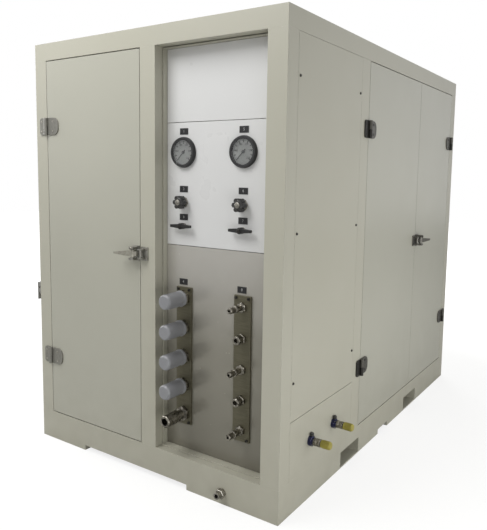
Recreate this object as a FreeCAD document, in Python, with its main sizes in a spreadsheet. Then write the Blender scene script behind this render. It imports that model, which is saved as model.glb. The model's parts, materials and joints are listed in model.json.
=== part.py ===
"""Enclosed hydraulic power unit with its oil reservoir: parametric FreeCAD model in millimetres.

The origin is the centre of the footprint on the floor and +Z is up.
The front, with the recessed coupling panel, faces -Y. The service doors are on the +X side.
"""
import FreeCAD, Part

import math
import os

import Sketcher
from FreeCAD import Placement, Rotation, Vector

# Driving dimensions in millimetres and degrees; the spreadsheet of the document holds them.
DIMENSIONS = {
    # cabinet
    "width": 1300, "depth": 2000, "height": 1800,
    "roof_skirt": 74, "base_height": 130, "foot_height": 22, "sheet": 3, "base_wall": 5,
    "corner_post": 72, "mid_post": 80, "post_depth": 42, "gap": 3,
    "door_bay": 565, "mullion": 78, "recess_width": 506, "recess_depth": 65,
    "door_thickness": 25, "panel_thickness": 22, "door_split": 365,
    "lower_panel_top": 356, "header_bottom": 1440, "gauge_bottom": 963,
    # fork pockets
    "fork_width": 190, "fork_top": 71, "fork_spacing": 780,
    # hinges
    "hinge_height": 74, "hinge_high": 1442, "hinge_low": 402, "knuckle": 8.5, "hinge_pin": 4,
    "fixed_leaf": 45, "moving_leaf": 76, "leaf_thickness": 5, "hinge_offset": 9, "running_clearance": 0.05,
    # latches
    "latch_height": 60, "latch_pivot": 24, "latch_reach": 84, "latch_pin": 4,
    "front_latch_level": 924, "side_latch_level": 912,
    # instrument columns
    "left_column": 157, "right_column": 437, "gauge_level": 1325, "flow_level": 1133,
    "lever_level": 1040, "gauge_radius": 59, "knob_radius": 27, "lever_span": 98,
    "label_width": 40, "label_height": 24,
    # panel screws and ventilation slots
    "screw_radius": 2.5, "louvre_length": 300, "louvre_height": 9, "louvre_pitch": 30,
    # coupling bars
    "bar_shift": 8, "bar_width": 75, "bar_thickness": 8, "bar_bottom": 239, "bar_top": 799,
    "coupling_pitch": 118.25, "coupling_lowest": 283, "cap_radius": 29, "cap_start": 20, "cap_end": 120,
    "coupling_radius": 24, "coupling_bore": 15, "nipple_radius": 11, "socket_bore": 9,
    # side couplings and drain
    "side_coupling_y": -772, "side_coupling_pitch": 200, "side_coupling_level": 235,
    "side_cap_radius": 15, "side_body_radius": 14,
    "drain_x": 402, "drain_level": 46, "drain_radius": 13, "drain_bore": 8,
    # power inlet
    "inlet_setback": 44, "inlet_level": 686, "inlet_radius": 24, "inlet_reach": 40,
    "inlet_lid_width": 50, "inlet_lid_height": 80,
    # equipment inside
    "tank_left": -560, "tank_front": -250, "tank_width": 600, "tank_length": 1100,
    "tank_height": 700, "tank_wall": 4, "filler_radius": 32,
    "motor_x": 340, "motor_front": 150, "motor_length": 560, "motor_radius": 175, "shaft_level": 390,
    "cooler_size": 480, "cooler_x": 320, "cooler_bottom": 880, "cooler_front": 790, "fan_radius": 200,
}


class Size:
    """A length known both as a number and as an expression on the spreadsheet."""

    def __init__(self, number, text):
        self.number = float(number)
        self.text = text

    @staticmethod
    def of(value):
        """The value itself if it is a Size, else a constant Size."""
        return value if isinstance(value, Size) else Size(value, f"{value:g}")

    def join(self, other, sign, number):
        """The Size of an arithmetic step between this one and another."""
        return Size(number, f"({self.text} {sign} {Size.of(other).text})")

    def __add__(self, other):
        return self.join(other, "+", self.number + Size.of(other).number)

    def __sub__(self, other):
        return self.join(other, "-", self.number - Size.of(other).number)

    def __mul__(self, other):
        return self.join(other, "*", self.number * Size.of(other).number)

    def __truediv__(self, other):
        return self.join(other, "/", self.number / Size.of(other).number)

    def __radd__(self, other):
        return Size.of(other) + self

    def __rsub__(self, other):
        return Size.of(other) - self

    def __neg__(self):
        return Size.of(0) - self


class Dims:
    """The driving dimensions as attributes, each bound to its spreadsheet cell."""

    def __init__(self, document):
        sheet = document.addObject("Spreadsheet::Sheet", "dims")
        for row, (alias, number) in enumerate(DIMENSIONS.items(), start=1):
            sheet.set(f"A{row}", alias)
            sheet.set(f"B{row}", str(number))
            sheet.setAlias(f"B{row}", alias)
            setattr(self, alias, Size(number, f"dims.{alias}"))


doc = FreeCAD.newDocument("hydraulic_power_unit")
d = Dims(doc)
doc.recompute()

# Faces of the cabinet and lines that several pieces share.
LEFT, RIGHT = -d.width / 2, d.width / 2
FRONT, REAR = -d.depth / 2, d.depth / 2
EAVES = d.height - d.roof_skirt
DOOR_LEFT = LEFT + d.corner_post
MULLION_LEFT = DOOR_LEFT + d.door_bay
RECESS_LEFT = MULLION_LEFT + d.mullion
RECESS_RIGHT = RECESS_LEFT + d.recess_width
PANEL_FACE = FRONT + d.recess_depth
SIDE_POST_REAR = FRONT + 688
SIDE_POST_FRONT = SIDE_POST_REAR - d.mid_post
FORKS = (-d.fork_spacing / 2, d.fork_spacing / 2)
COLUMNS = (d.left_column, d.right_column)

# Turns that take a piece's local +Z axis, or its own front, to where it points on the cabinet.
UPRIGHT = Rotation()
TO_FRONT = Rotation(Vector(1, 0, 0), 90)
TO_REAR = Rotation(Vector(1, 0, 0), -90)
TO_RIGHT = Rotation(Vector(0, 1, 0), 90)
TO_LEFT = Rotation(Vector(0, 1, 0), -90)
# Hinges and latches are made with +X along the face, +Y out of it and +Z up.
OUT_OF_FRONT = Rotation(Vector(0, 0, 1), 180)
OUT_OF_RIGHT = Rotation(Vector(0, 0, 1), -90)

nodes = {}


def keep(name, shape_object):
    """Name a finished sub-part; its label is also its file's name."""
    shape_object.Label = name
    nodes[name] = shape_object
    return shape_object


def bind(item, prop, size):
    """Bind one property of an object to a size on the sheet."""
    item.setExpression(prop, Size.of(size).text)


def place(item, corner, turn=UPRIGHT):
    """Turn an object and bind its position."""
    item.Placement = Placement(Vector(*[Size.of(c).number for c in corner]), turn)
    for axis, size in zip("xyz", corner):
        bind(item, f"Placement.Base.{axis}", size)
    return item


def box(low, high):
    """A block between two corners."""
    item = doc.addObject("Part::Box", "block")
    for prop, start, end in zip(("Length", "Width", "Height"), low, high):
        bind(item, prop, Size.of(end) - start)
    return place(item, low)


def rod(base, radius, length, turn=UPRIGHT):
    """A cylinder from its base point along its turned axis."""
    item = doc.addObject("Part::Cylinder", "rod")
    bind(item, "Radius", radius)
    bind(item, "Height", length)
    return place(item, base, turn)


def combine(kind, parts):
    """One solid, or one group of separate solids, from several."""
    item = doc.addObject(kind, "joined")
    setattr(item, "Links" if kind == "Part::Compound" else "Shapes", list(parts))
    return item


def fuse(*parts):
    """The parts welded into one."""
    return combine("Part::MultiFuse", parts) if len(parts) > 1 else parts[0]


def group(*parts):
    """Separate solids that belong to one sub-part."""
    return combine("Part::Compound", parts)


def cut(base, *tools):
    """The base with the tools taken away."""
    item = doc.addObject("Part::Cut", "cut")
    item.Base = base
    item.Tool = fuse(*tools)
    return item


def tray(low, high, open_side, wall=d.sheet):
    """A folded sheet tray: a block hollowed out towards one side, such as "-x"."""
    inner_low = [Size.of(c) + wall for c in low]
    inner_high = [Size.of(c) - wall for c in high]
    axis = "xyz".index(open_side[1])
    if open_side[0] == "-":
        inner_low[axis] = Size.of(low[axis]) - 1
    else:
        inner_high[axis] = Size.of(high[axis]) + 1
    return cut(box(low, high), box(inner_low, inner_high))


def origin_feature(body, role):
    """A plane or axis of the body's own origin."""
    return next(f for f in body.Origin.OriginFeatures if f.Role == role)


def outline_sketch(body, points, plane="XZ_Plane"):
    """A closed outline of straight lines on a plane of the body, every corner bound to the sheet."""
    sketch = body.newObject("Sketcher::SketchObject", "outline")
    sketch.AttachmentSupport = [(origin_feature(body, plane), "")]
    sketch.MapMode = "FlatFace"
    corners = [Vector(Size.of(x).number, Size.of(y).number, 0) for x, y in points]
    for start, end in zip(corners, corners[1:] + corners[:1]):
        sketch.addGeometry(Part.LineSegment(start, end), False)
    count = len(points)
    for index in range(count):
        sketch.addConstraint(Sketcher.Constraint("Coincident", index, 2, (index + 1) % count, 1))
    for index, (x, y) in enumerate(points):
        for kind, size in (("DistanceX", x), ("DistanceY", y)):
            number = Size.of(size).number
            at = sketch.addConstraint(Sketcher.Constraint(kind, -1, 1, index, 1, number))
            if isinstance(size, Size):
                sketch.setExpression(f"Constraints[{at}]", size.text)
    return sketch


def turned(points, base=(0, 0, 0), turn=UPRIGHT):
    """A turned piece from its half outline of (radius, height) corners about its local Z axis."""
    body = doc.addObject("PartDesign::Body", "turned_body")
    sketch = outline_sketch(body, points)
    spin = body.newObject("PartDesign::Revolution", "revolve")
    spin.Profile = sketch
    spin.ReferenceAxis = (sketch, ["V_Axis"])
    spin.Angle = 360
    sketch.Visibility = False
    return place(body, base, turn)


def padded(points, thickness, base=(0, 0, 0), turn=UPRIGHT):
    """A flat piece: an outline in its local XY plane, padded along local Z."""
    body = doc.addObject("PartDesign::Body", "padded_body")
    sketch = outline_sketch(body, points, "XY_Plane")
    pad = body.newObject("PartDesign::Pad", "pad")
    pad.Profile = sketch
    bind(pad, "Length", thickness)
    return place(body, base, turn)


def rounded(body, radius, wanted):
    """Fillet the edges of a body's last feature whose middle point passes the test."""
    doc.recompute()
    tip = body.Tip
    edges = [f"Edge{index}" for index, edge in enumerate(tip.Shape.Edges, start=1)
             if wanted(edge)]
    fillet = body.newObject("PartDesign::Fillet", "rounding")
    fillet.Base = (tip, edges)
    bind(fillet, "Radius", radius)
    return body


def pipe(points, radius, bend):
    """A round pipe along straight runs joined by tangent arcs of one bend radius."""
    stops = [Vector(*[Size.of(c).number for c in point]) for point in points]
    edges = []
    start = stops[0]
    for before, corner, after in zip(stops, stops[1:], stops[2:]):
        inward = (before - corner).normalize()
        outward = (after - corner).normalize()
        turn = math.pi - inward.getAngle(outward)
        setback = bend * math.tan(turn / 2)
        first = corner + inward * setback
        last = corner + outward * setback
        bisector = (inward + outward).normalize()
        middle = corner + bisector * (bend / math.cos(turn / 2) - bend)
        edges.append(Part.LineSegment(start, first).toShape())
        edges.append(Part.Arc(first, middle, last).toShape())
        start = last
    edges.append(Part.LineSegment(start, stops[-1]).toShape())
    ring = Part.Wire(Part.Circle(stops[0], stops[1] - stops[0], radius).toShape())
    item = doc.addObject("Part::Feature", "pipe")
    item.Shape = Part.Wire(edges).makePipeShell([ring], True, True)
    return item


# ---------------------------------------------------------------- cabinet

def make_base_frame():
    """Welded base: deck, side walls, closed fork tunnels right across, feet and a centre bearer."""
    wall, deck = d.base_wall, d.base_height - 4
    half_fork = d.fork_width / 2
    shell = cut(
        box((LEFT, FRONT, d.foot_height), (RIGHT, REAR, d.base_height)),
        box((LEFT + wall, FRONT + wall, 0), (RIGHT - wall, REAR - wall, deck)),
    )
    tunnels = [
        box((LEFT, y - half_fork - wall, 0), (RIGHT, y + half_fork + wall, d.fork_top + wall))
        for y in FORKS
    ]
    pockets = [
        box((LEFT - 1, y - half_fork, wall), (RIGHT + 1, y + half_fork, d.fork_top)) for y in FORKS
    ]
    foot_width, foot_top = 40, d.foot_height + 1
    relief, left_foot, right_foot, half_bearer = 60, 290, 422, 40
    feet = []
    for side in (LEFT, RIGHT - foot_width):
        for start, end in ((FRONT, FORKS[0]), (FORKS[0], -relief), (relief, FORKS[1]), (FORKS[1], REAR)):
            feet.append(box((side, start, 0), (side + foot_width, end, foot_top)))
    for end in (FRONT, REAR - foot_width):
        feet.append(box((LEFT, end, 0), (LEFT + left_foot, end + foot_width, foot_top)))
        feet.append(box((RIGHT - right_foot, end, 0), (RIGHT, end + foot_width, foot_top)))
    bearer = box((-half_bearer, FORKS[0], 0), (half_bearer, FORKS[1], deck + 1))
    drain_hole = rod((d.drain_x, FRONT + 60, d.drain_level), d.drain_radius, 80, TO_FRONT)
    keep("base_frame", cut(fuse(shell, bearer, *tunnels, *feet), drain_hole, *pockets))


def post(low, high):
    """A hollow upright, open at both ends."""
    wall = d.sheet
    return cut(
        box((low[0], low[1], d.base_height), (high[0], high[1], EAVES)),
        box((low[0] + wall, low[1] + wall, 0), (high[0] - wall, high[1] - wall, EAVES + 1)),
    )


def angle_rail(low, high, stand):
    """A top rail: a lying strip with an upright flange on one of its sides."""
    flange_rise = 40
    strip = box(low, high)
    flange_low, flange_high = list(low), [high[0], high[1], Size.of(high[2]) + flange_rise]
    axis = "xy".index(stand[1])
    if stand[0] == "-":
        flange_high[axis] = Size.of(low[axis]) + 4
    else:
        flange_low[axis] = Size.of(high[axis]) - 4
    return fuse(strip, box(flange_low, flange_high))


def make_upright_frame():
    """Welded frame above the base: corner posts, mullion, side posts and the top rails."""
    corner = d.corner_post
    groove = 2
    mullion = cut(
        post((MULLION_LEFT, FRONT), (RECESS_LEFT, PANEL_FACE + 3)),
        box((RECESS_LEFT - 2, FRONT + d.post_depth, d.base_height - 1),
            (RECESS_LEFT + 1, FRONT + d.post_depth + groove, EAVES + 1)),
    )
    posts = [
        post((LEFT, FRONT), (LEFT + corner, FRONT + corner)),
        mullion,
        post((RECESS_RIGHT, FRONT), (RIGHT, FRONT + corner)),
        post((RIGHT - d.post_depth, SIDE_POST_FRONT), (RIGHT, SIDE_POST_REAR)),
        post((RIGHT - 72, d.door_split - 30), (RIGHT - 30, d.door_split + 30)),
        post((RIGHT - corner, REAR - 74), (RIGHT, REAR)),
        post((LEFT, REAR - 74), (LEFT + corner, REAR)),
        post((LEFT + 24, SIDE_POST_FRONT), (LEFT + 66, SIDE_POST_REAR)),
    ]
    inset, strip, top = 4, 50, EAVES + 4
    left, right, front, rear = LEFT + inset, RIGHT - inset, FRONT + inset, REAR - inset
    rails = [
        angle_rail((left, front, EAVES), (right, FRONT + strip, top), "-y"),
        angle_rail((left, REAR - strip, EAVES), (right, rear, top), "+y"),
        angle_rail((left, front, EAVES), (LEFT + strip, rear, top), "-x"),
        angle_rail((RIGHT - strip, front, EAVES), (right, rear, top), "+x"),
    ]
    keep("upright_frame", fuse(*posts, *rails))


def make_roof():
    """Roof cover: one folded tray with a deep skirt, standing on the top rails."""
    keep("roof_panel", tray((LEFT, FRONT, EAVES), (RIGHT, REAR, d.height), "-z"))


def make_recess():
    """The recess behind the front face: its folded surround and the three panel plates."""
    surround_left, surround_right = RECESS_LEFT, RECESS_RIGHT
    front, back = FRONT + d.post_depth + 2, PANEL_FACE + 6
    low, high = d.base_height + 0.5, EAVES - 3
    thick = 6
    ring = cut(
        box((surround_left, front, low), (surround_right, back, high)),
        box((surround_left + thick, front - 1, low + 3),
            (surround_right - thick, PANEL_FACE + 3, high - 3)),
        box((surround_left + 22, PANEL_FACE + 2, low + 18), (surround_right - 22, back + 1, high - 18)),
    )
    lip = box((surround_left + 1, FRONT + 33, low), (surround_right - 1, front + 1, low + 3))
    keep("recess_surround", fuse(ring, lip))
    left, right = surround_left + thick + 1, surround_right - thick - 1
    plates = (
        ("header_plate", d.header_bottom + 1, high - 4, ()),
        ("gauge_plate", d.gauge_bottom + 1, d.header_bottom - 1,
         ((d.gauge_level, 51), (d.flow_level, 9), (d.lever_level, 9))),
        ("coupling_plate", low + 4, d.gauge_bottom - 1, ()),
    )
    for name, bottom, top, holes in plates:
        plate = box((left, PANEL_FACE, bottom), (right, PANEL_FACE + 3, top))
        drills = [rod((x, PANEL_FACE + 4, level), radius, 6, TO_FRONT)
                  for x in COLUMNS for level, radius in holes]
        keep(name, cut(plate, *drills) if drills else plate)


def make_labels():
    """Small black identification plates above the instruments and coupling bars."""
    half, tall = d.label_width / 2, d.label_height / 2
    levels = (d.gauge_level + 80, d.flow_level + 51, d.lever_level + 35, d.bar_top + 20)
    labels = []
    for x in COLUMNS:
        for level in levels:
            labels.append(box((x - half, PANEL_FACE - 1.5, level - tall),
                              (x + half, PANEL_FACE, level + tall)))
    keep("label_plates", group(*labels))


def make_fixed_panels():
    """Panels screwed to the frame: two at the right, one large at the left and one at the rear."""
    near, far = FRONT + d.corner_post + 1, SIDE_POST_FRONT - 1
    top, thick, low = EAVES - 1, d.panel_thickness, d.base_height
    back_left, back_right = LEFT + d.corner_post + 1, RIGHT - d.corner_post - 1
    right_screws = screw_places(RIGHT, (FRONT + 86, FRONT + 592), (1580, 1040, 500))
    left_screws = screw_places(LEFT, (FRONT + 86, -352, 300, REAR - 88), (1580, 930, 260))
    rear_screws = [(x, REAR, level) for x in (LEFT + 88, RIGHT - 88) for level in (1580, 930, 260)]
    coupling_holes = [rod((RIGHT - 10, y, d.side_coupling_level), 13, 20, TO_RIGHT)
                      for y in side_coupling_stations()]
    screws = []

    def fix(name, blank, places, turn, openings):
        """Drill a blank tray for its screws, keep it, and add its screws to the rest."""
        holes = [screw_hole(base, turn) for base in places]
        screws.extend(panel_screw(base, turn) for base in places)
        keep(name, cut(blank, *holes, *openings))

    fix("right_upper_panel", tray((RIGHT - thick, near, d.lower_panel_top + 1), (RIGHT, far, top), "-x"),
        right_screws, TO_RIGHT, [])
    fix("right_lower_panel", tray((RIGHT - thick, near, low), (RIGHT, far, d.lower_panel_top - 1), "-x"),
        [], TO_RIGHT, coupling_holes)
    fix("left_panel", tray((LEFT, near, low), (LEFT + thick, REAR - 75, top), "+x"),
        left_screws, TO_LEFT, louvre_slots((LEFT - 1, LEFT + 5)))
    fix("rear_panel", tray((back_left, REAR - thick, low), (back_right, REAR, top), "-y"),
        rear_screws, TO_REAR, outlet_slots((REAR - 5, REAR + 1)))
    keep("panel_screws", group(*screws))


def screw_places(face, ys, levels):
    """Screw positions on a side face, in columns along Y."""
    return [(face, y, level) for y in ys for level in levels]


def slot_bank(start, bottom, across, along):
    """A bank of twelve ventilation slots, one above the other, cut along the X or Y axis."""
    slots = []
    for row in range(12):
        low = {along: start, "z": bottom + d.louvre_pitch * row}
        high = {along: start + d.louvre_length, "z": low["z"] + d.louvre_height}
        other = "xy".replace(along, "")
        low[other], high[other] = across
        slots.append(box([low[axis] for axis in "xyz"], [high[axis] for axis in "xyz"]))
    return slots


def louvre_slots(across):
    """Four banks of ventilation slots through the left panel."""
    return [slot for start in (-160, 240) for bottom in (620, 1020)
            for slot in slot_bank(start, bottom, across, "y")]


def outlet_slots(across):
    """The round air outlet of the rear panel, cut as slots as long as the circle is wide, and two banks."""
    radius, centre = d.fan_radius.number, d.cooler_bottom + d.cooler_size / 2
    rib, rows = 8, 6
    slots = []
    for step in range(-rows, rows + 1):
        level = centre + d.louvre_pitch * step - d.louvre_height / 2
        half = math.sqrt(radius ** 2 - (step * d.louvre_pitch.number) ** 2)
        for side in (-1, 1):
            start, end = sorted((rib * side, half * side))
            slots.append(box((d.cooler_x + start, across[0], level),
                             (d.cooler_x + end, across[1], level + d.louvre_height)))
    return slots + [slot for start in (-420, -80) for slot in slot_bank(start, 420, across, "x")]


def screw_hole(base, turn):
    """The clearance hole of a panel screw, drilled from both sides of its face."""
    return turned(((0, -10), (d.screw_radius, -10), (d.screw_radius, 5), (0, 5)), base, turn)


def panel_screw(base, turn):
    """A pan-head screw: low domed head on the sheet and its shank behind it."""
    outline = ((0, -12), (d.screw_radius, -12), (d.screw_radius, 0), (5, 0), (5, 2), (4, 3.5), (0, 3.5))
    return turned(outline, base, turn)


def side_coupling_stations():
    """Where the two couplings stand along the right lower panel."""
    return (d.side_coupling_y, d.side_coupling_y + d.side_coupling_pitch)


# ---------------------------------------------------------------- doors, hinges and latches

def make_doors():
    """Three flush doors, each one folded tray with its open side inwards."""
    gap, inner = d.gap, d.door_thickness
    top, low = EAVES - 4, d.base_height + 4
    split = d.door_split
    keep("front_door", tray((DOOR_LEFT + gap, FRONT, low), (MULLION_LEFT - gap, FRONT + inner, top), "+y"))
    keep("side_door_front",
         tray((RIGHT - inner, SIDE_POST_REAR + gap, low), (RIGHT, split - gap / 2, top), "-x"))
    keep("side_door_rear",
         tray((RIGHT - inner, split + gap / 2, low), (RIGHT, REAR - 74 - gap, top), "-x"))


def hinge_half(moving, mirrored):
    """Half of a lift-off hinge about local Z: the fixed half carries the pin, the moving half turns on it."""
    side = -1 if mirrored else 1
    offset, thick, half = d.hinge_offset, d.leaf_thickness, d.hinge_height / 2
    reach = d.moving_leaf if moving else d.fixed_leaf
    direction = side if moving else -side
    inner, outer = 10 * direction, reach * direction
    outline = ((inner, 0), (outer, 0), (outer, d.hinge_height), (inner, d.hinge_height))
    leaf = padded(outline, thick, (0, thick - offset, -half), TO_FRONT)
    corner = 30 if moving else 12
    rounded(leaf, corner, lambda edge: is_leaf_corner(edge, reach.number))
    low, high = (0.5, half) if moving else (-half, -0.5)
    low, high = Size.of(low), Size.of(high)
    web_low, web_high = (0, inner + direction) if direction > 0 else (inner + direction, 0)
    web = box((web_low, -offset, low), (web_high, thick - offset, high))
    knuckle = rod((0, 0, low), d.knuckle, high - low)
    if moving:
        bore = rod((0, 0, low - 1), d.hinge_pin + d.running_clearance, high - low + 2)
        return cut(fuse(leaf, web, knuckle), bore)
    pin = rod((0, 0, low), d.hinge_pin, d.hinge_height - 2)
    return fuse(leaf, web, knuckle, pin)


def is_leaf_corner(edge, reach):
    """Whether an edge is one of the two short edges across the leaf at its outer end."""
    ends = [vertex.Point for vertex in edge.Vertexes]
    across = len(ends) == 2 and abs(ends[0].z - ends[1].z) > 1
    return across and all(abs(abs(end.x) - reach) < 0.01 for end in ends)


def set_hinge(half, base, turn):
    """Put one hinge half on its axis: base is the pin's middle, local +Y points out of the face."""
    return place(group(half), base, turn)


def make_hinges():
    """Two lift-off hinges per door; all fixed halves in one node, the moving ones by door."""
    axes = (
        ("front_door_hinges", (DOOR_LEFT + d.gap / 2, FRONT - d.hinge_offset), OUT_OF_FRONT, True),
        ("side_door_front_hinges", (RIGHT + d.hinge_offset, SIDE_POST_REAR + d.gap / 2), OUT_OF_RIGHT,
         True),
        ("side_door_rear_hinges", (RIGHT + d.hinge_offset, REAR - 74 - d.gap / 2), OUT_OF_RIGHT, False),
    )
    fixed = []
    for name, (x, y), turn, mirrored in axes:
        moving = []
        for level in (d.hinge_high, d.hinge_low):
            fixed.append(set_hinge(hinge_half(False, mirrored), (x, y, level), turn))
            moving.append(set_hinge(hinge_half(True, mirrored), (x, y, level), turn))
        keep(name, group(*moving))
    keep("hinge_fixed_halves", group(*fixed))


def latch_body():
    """Latch body about its pivot: a foot plate and two ears with the pivot pin between them."""
    half, pivot = d.latch_height / 2, d.latch_pivot
    foot = box((-17, -pivot, -half), (17, -pivot + 5, half))
    ears = [box((-12, -pivot + 4, z), (12, 10, z + 9)) for z in (-half + 3, half - 12)]
    pin = rod((0, 0, -half + 8), d.latch_pin, d.latch_height - 16)
    return fuse(foot, *ears, pin)


def latch_handle():
    """Latch handle about its pivot: hub, a tongue to local -X and a grip to local +X that tapers."""
    reach, half, tip = d.latch_reach, 11, 4
    side_view = padded(((0, -8), (16, -4), (reach - 4, 16), (reach, 20), (reach - 2, 26),
                        (reach - 12, 26), (0, 8)), half * 2, (0, 0, -half))
    front_view = padded(((0, -half), (14, -half), (reach, -tip), (reach, tip), (14, half), (0, half)), 50,
                        (0, 35, 0), TO_FRONT)
    grip = combine("Part::MultiCommon", (side_view, front_view))
    hub = rod((0, 0, -16), 9, 32)
    tongue = box((-24, -5, -9), (0, 4, 9))
    bore = rod((0, 0, -20), d.latch_pin + d.running_clearance, 40)
    return cut(fuse(grip, hub, tongue), bore)


def latch_keeper():
    """Keeper beside the latch about the latch's pivot: plate, two cheeks and the roller between them."""
    pivot = d.latch_pivot
    plate = box((-64, -pivot, -27), (-27, -pivot + 5, 27))
    cheeks = [box((-52, -pivot + 4, z), (-28, 2, z + 5)) for z in (-20, 15)]
    roller = rod((-38, -6, -16), 6, 32)
    return fuse(plate, roller, *cheeks)


def make_latches():
    """Front latch on the front door and mullion; side latch on the rear leaf and the front leaf."""
    places = (
        ("front", (MULLION_LEFT - d.gap - 19, FRONT - d.latch_pivot, d.front_latch_level), OUT_OF_FRONT,
         lambda solid: solid),
        ("side", (RIGHT + d.latch_pivot, d.door_split + 21, d.side_latch_level), OUT_OF_RIGHT, mirrored_x),
    )
    for prefix, pivot, turn, handed in places:
        for piece, make_piece in (("body", latch_body), ("handle", latch_handle), ("keeper", latch_keeper)):
            keep(f"{prefix}_latch_{piece}", place(group(handed(make_piece())), pivot, turn))


def mirrored_x(solid):
    """The piece mirrored across its own YZ plane."""
    mirror = doc.addObject("Part::Mirroring", "mirrored")
    mirror.Source = solid
    mirror.Normal = Vector(1, 0, 0)
    return mirror


# ---------------------------------------------------------------- instruments and valves

def make_gauges():
    """Two dial gauges in the gauge plate: case with bezel, lens and pointer."""
    edge = d.gauge_radius
    case_outline = ((0, -48), (50, -48), (50, 0), (edge, 0), (edge, 6), (edge - 3, 14), (edge - 12, 14),
                    (edge - 12, 3), (3, 3), (3, 8), (0, 8))
    lens_outline = ((0, 9.5), (edge - 12.5, 9.5), (edge - 12.5, 12), (0, 12))
    cases, lenses = [], []
    for x, side in zip(COLUMNS, ("left", "right")):
        centre = (x, PANEL_FACE, d.gauge_level)
        cases.append(turned(case_outline, centre, TO_FRONT))
        lenses.append(turned(lens_outline, centre, TO_FRONT))
        keep(f"pointer_{side}", pointer(centre))
    keep("gauge_cases", group(*cases))
    keep("gauge_lenses", group(*lenses))


def pointer(centre):
    """Gauge pointer at zero: a boss on the spindle and a tapered hand towards the lower left."""
    hand = padded(((-2.5, -12), (2.5, -12), (0.8, 38), (-0.8, 38)), 1)
    place(hand, (0, 0, 5), Rotation(Vector(0, 0, 1), 135))
    boss = rod((0, 0, 4), 6, 3)
    bore = rod((0, 0, 3.5), Size.of(3) + d.running_clearance, 5)
    holder = group(cut(fuse(hand, boss), bore))
    return place(holder, centre, TO_FRONT)


def make_valves():
    """Two flow valves with star knobs and two ball valves with wing levers."""
    flow_outline = ((0, -40), (14, -40), (14, -3.5), (8, -3.5), (8, 0), (16, 0), (16, 10), (8, 12), (8, 20),
                    (0, 20))
    ball_outline = ((0, -45), (18, -45), (18, -3.5), (8, -3.5), (8, 0), (12, 0), (12, 6), (6, 6), (6, 16),
                    (0, 16))
    bonnets = []
    for x, side in zip(COLUMNS, ("left", "right")):
        flow, lever = (x, PANEL_FACE, d.flow_level), (x, PANEL_FACE, d.lever_level)
        bonnets.append(turned(flow_outline, flow, TO_FRONT))
        bonnets.append(turned(ball_outline, lever, TO_FRONT))
        keep(f"flow_knob_{side}", star_knob(flow))
        keep(f"valve_lever_{side}", wing_lever(lever))
    keep("valve_bonnets", group(*bonnets))


def star_knob(centre):
    """Six-lobed knob turning on the flow valve's stem."""
    lobe, lobes = 9, 6
    hub = turned(((0, 13), (16, 13), (19, 16), (19, 36), (15, 40), (0, 40)))
    arms = []
    for index in range(lobes):
        angle = 2 * math.pi * index / lobes
        out = d.knob_radius - lobe
        arms.append(rod((out * math.cos(angle), out * math.sin(angle), 16), lobe, 20))
    bore = rod((0, 0, 12), Size.of(8) + d.running_clearance, 9)
    return place(group(cut(fuse(hub, *arms), bore)), centre, TO_FRONT)


def wing_lever(centre):
    """Two-winged lever turning on the ball valve's stem."""
    half = d.lever_span / 2
    outline = ((-half, -5), (-12, -8), (12, -8), (half, -5), (half, 5), (12, 8), (-12, 8), (-half, 5))
    wings = padded(outline, 12, (0, 0, 14))
    hub = turned(((0, 7), (12, 7), (12, 26), (10, 29), (0, 29)))
    bore = rod((0, 0, 6), Size.of(6) + d.running_clearance, 11)
    return place(group(cut(fuse(wings, hub), bore)), centre, TO_FRONT)


# ---------------------------------------------------------------- couplings

def make_couplings():
    """Two coupling bars: large capped couplings on the left one, small couplings on the right one."""
    half = d.bar_width / 2
    bars, large, small = [], [], []
    face = PANEL_FACE - d.bar_thickness
    for column in COLUMNS:
        x = column + d.bar_shift
        bars.append(box((x - half, face, d.bar_bottom), (x + half, PANEL_FACE, d.bar_top)))
    body, port, nipple, socket = d.coupling_radius, d.coupling_bore, d.nipple_radius, d.socket_bore
    large_outline = ((0, 0), (body + 3, 0), (body + 3, 16), (body - 5, 18), (body - 5, 40), (body, 42),
                     (body, 112), (body - 2, 115), (port, 115), (port, 70), (0, 70))
    long_outline = ((0, 0), (17, 0), (17, 12), (nipple, 14), (nipple, 40), (nipple + 3, 41), (nipple + 3, 52),
                    (nipple, 53), (nipple, 80), (nipple - 2, 84), (nipple - 6, 84), (nipple - 6, 60), (0, 60))
    short_outline = ((0, 0), (17, 0), (17, 10), (14, 12), (16.5, 13), (16.5, 38), (15, 40), (socket, 40),
                     (socket, 20), (0, 20))
    mouth, skin, outer, length = body + 0.3, d.cap_radius - 2.5, d.cap_radius, d.cap_end - d.cap_start
    cap_outline = ((mouth, 0), (outer, 0), (outer, length - 6), (outer - 5, length), (0, length),
                   (0, length - 3), (skin - 3, length - 3), (skin, length - 7), (skin, 8), (mouth, 8))
    for index in range(5):
        level = d.coupling_lowest + d.coupling_pitch * index
        at_large = (d.left_column + d.bar_shift, face, level)
        at_small = (d.right_column + d.bar_shift, face, level)
        large.append(turned(large_outline, at_large, TO_FRONT))
        small.append(turned(short_outline if index in (1, 3) else long_outline, at_small, TO_FRONT))
        if index > 0:
            cap_base = (at_large[0], face - d.cap_start, level)
            keep(f"dust_cap_{index}", turned(cap_outline, cap_base, TO_FRONT))
    keep("coupling_bars", group(*bars))
    keep("large_couplings", group(*large))
    keep("small_couplings", group(*small))


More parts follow.
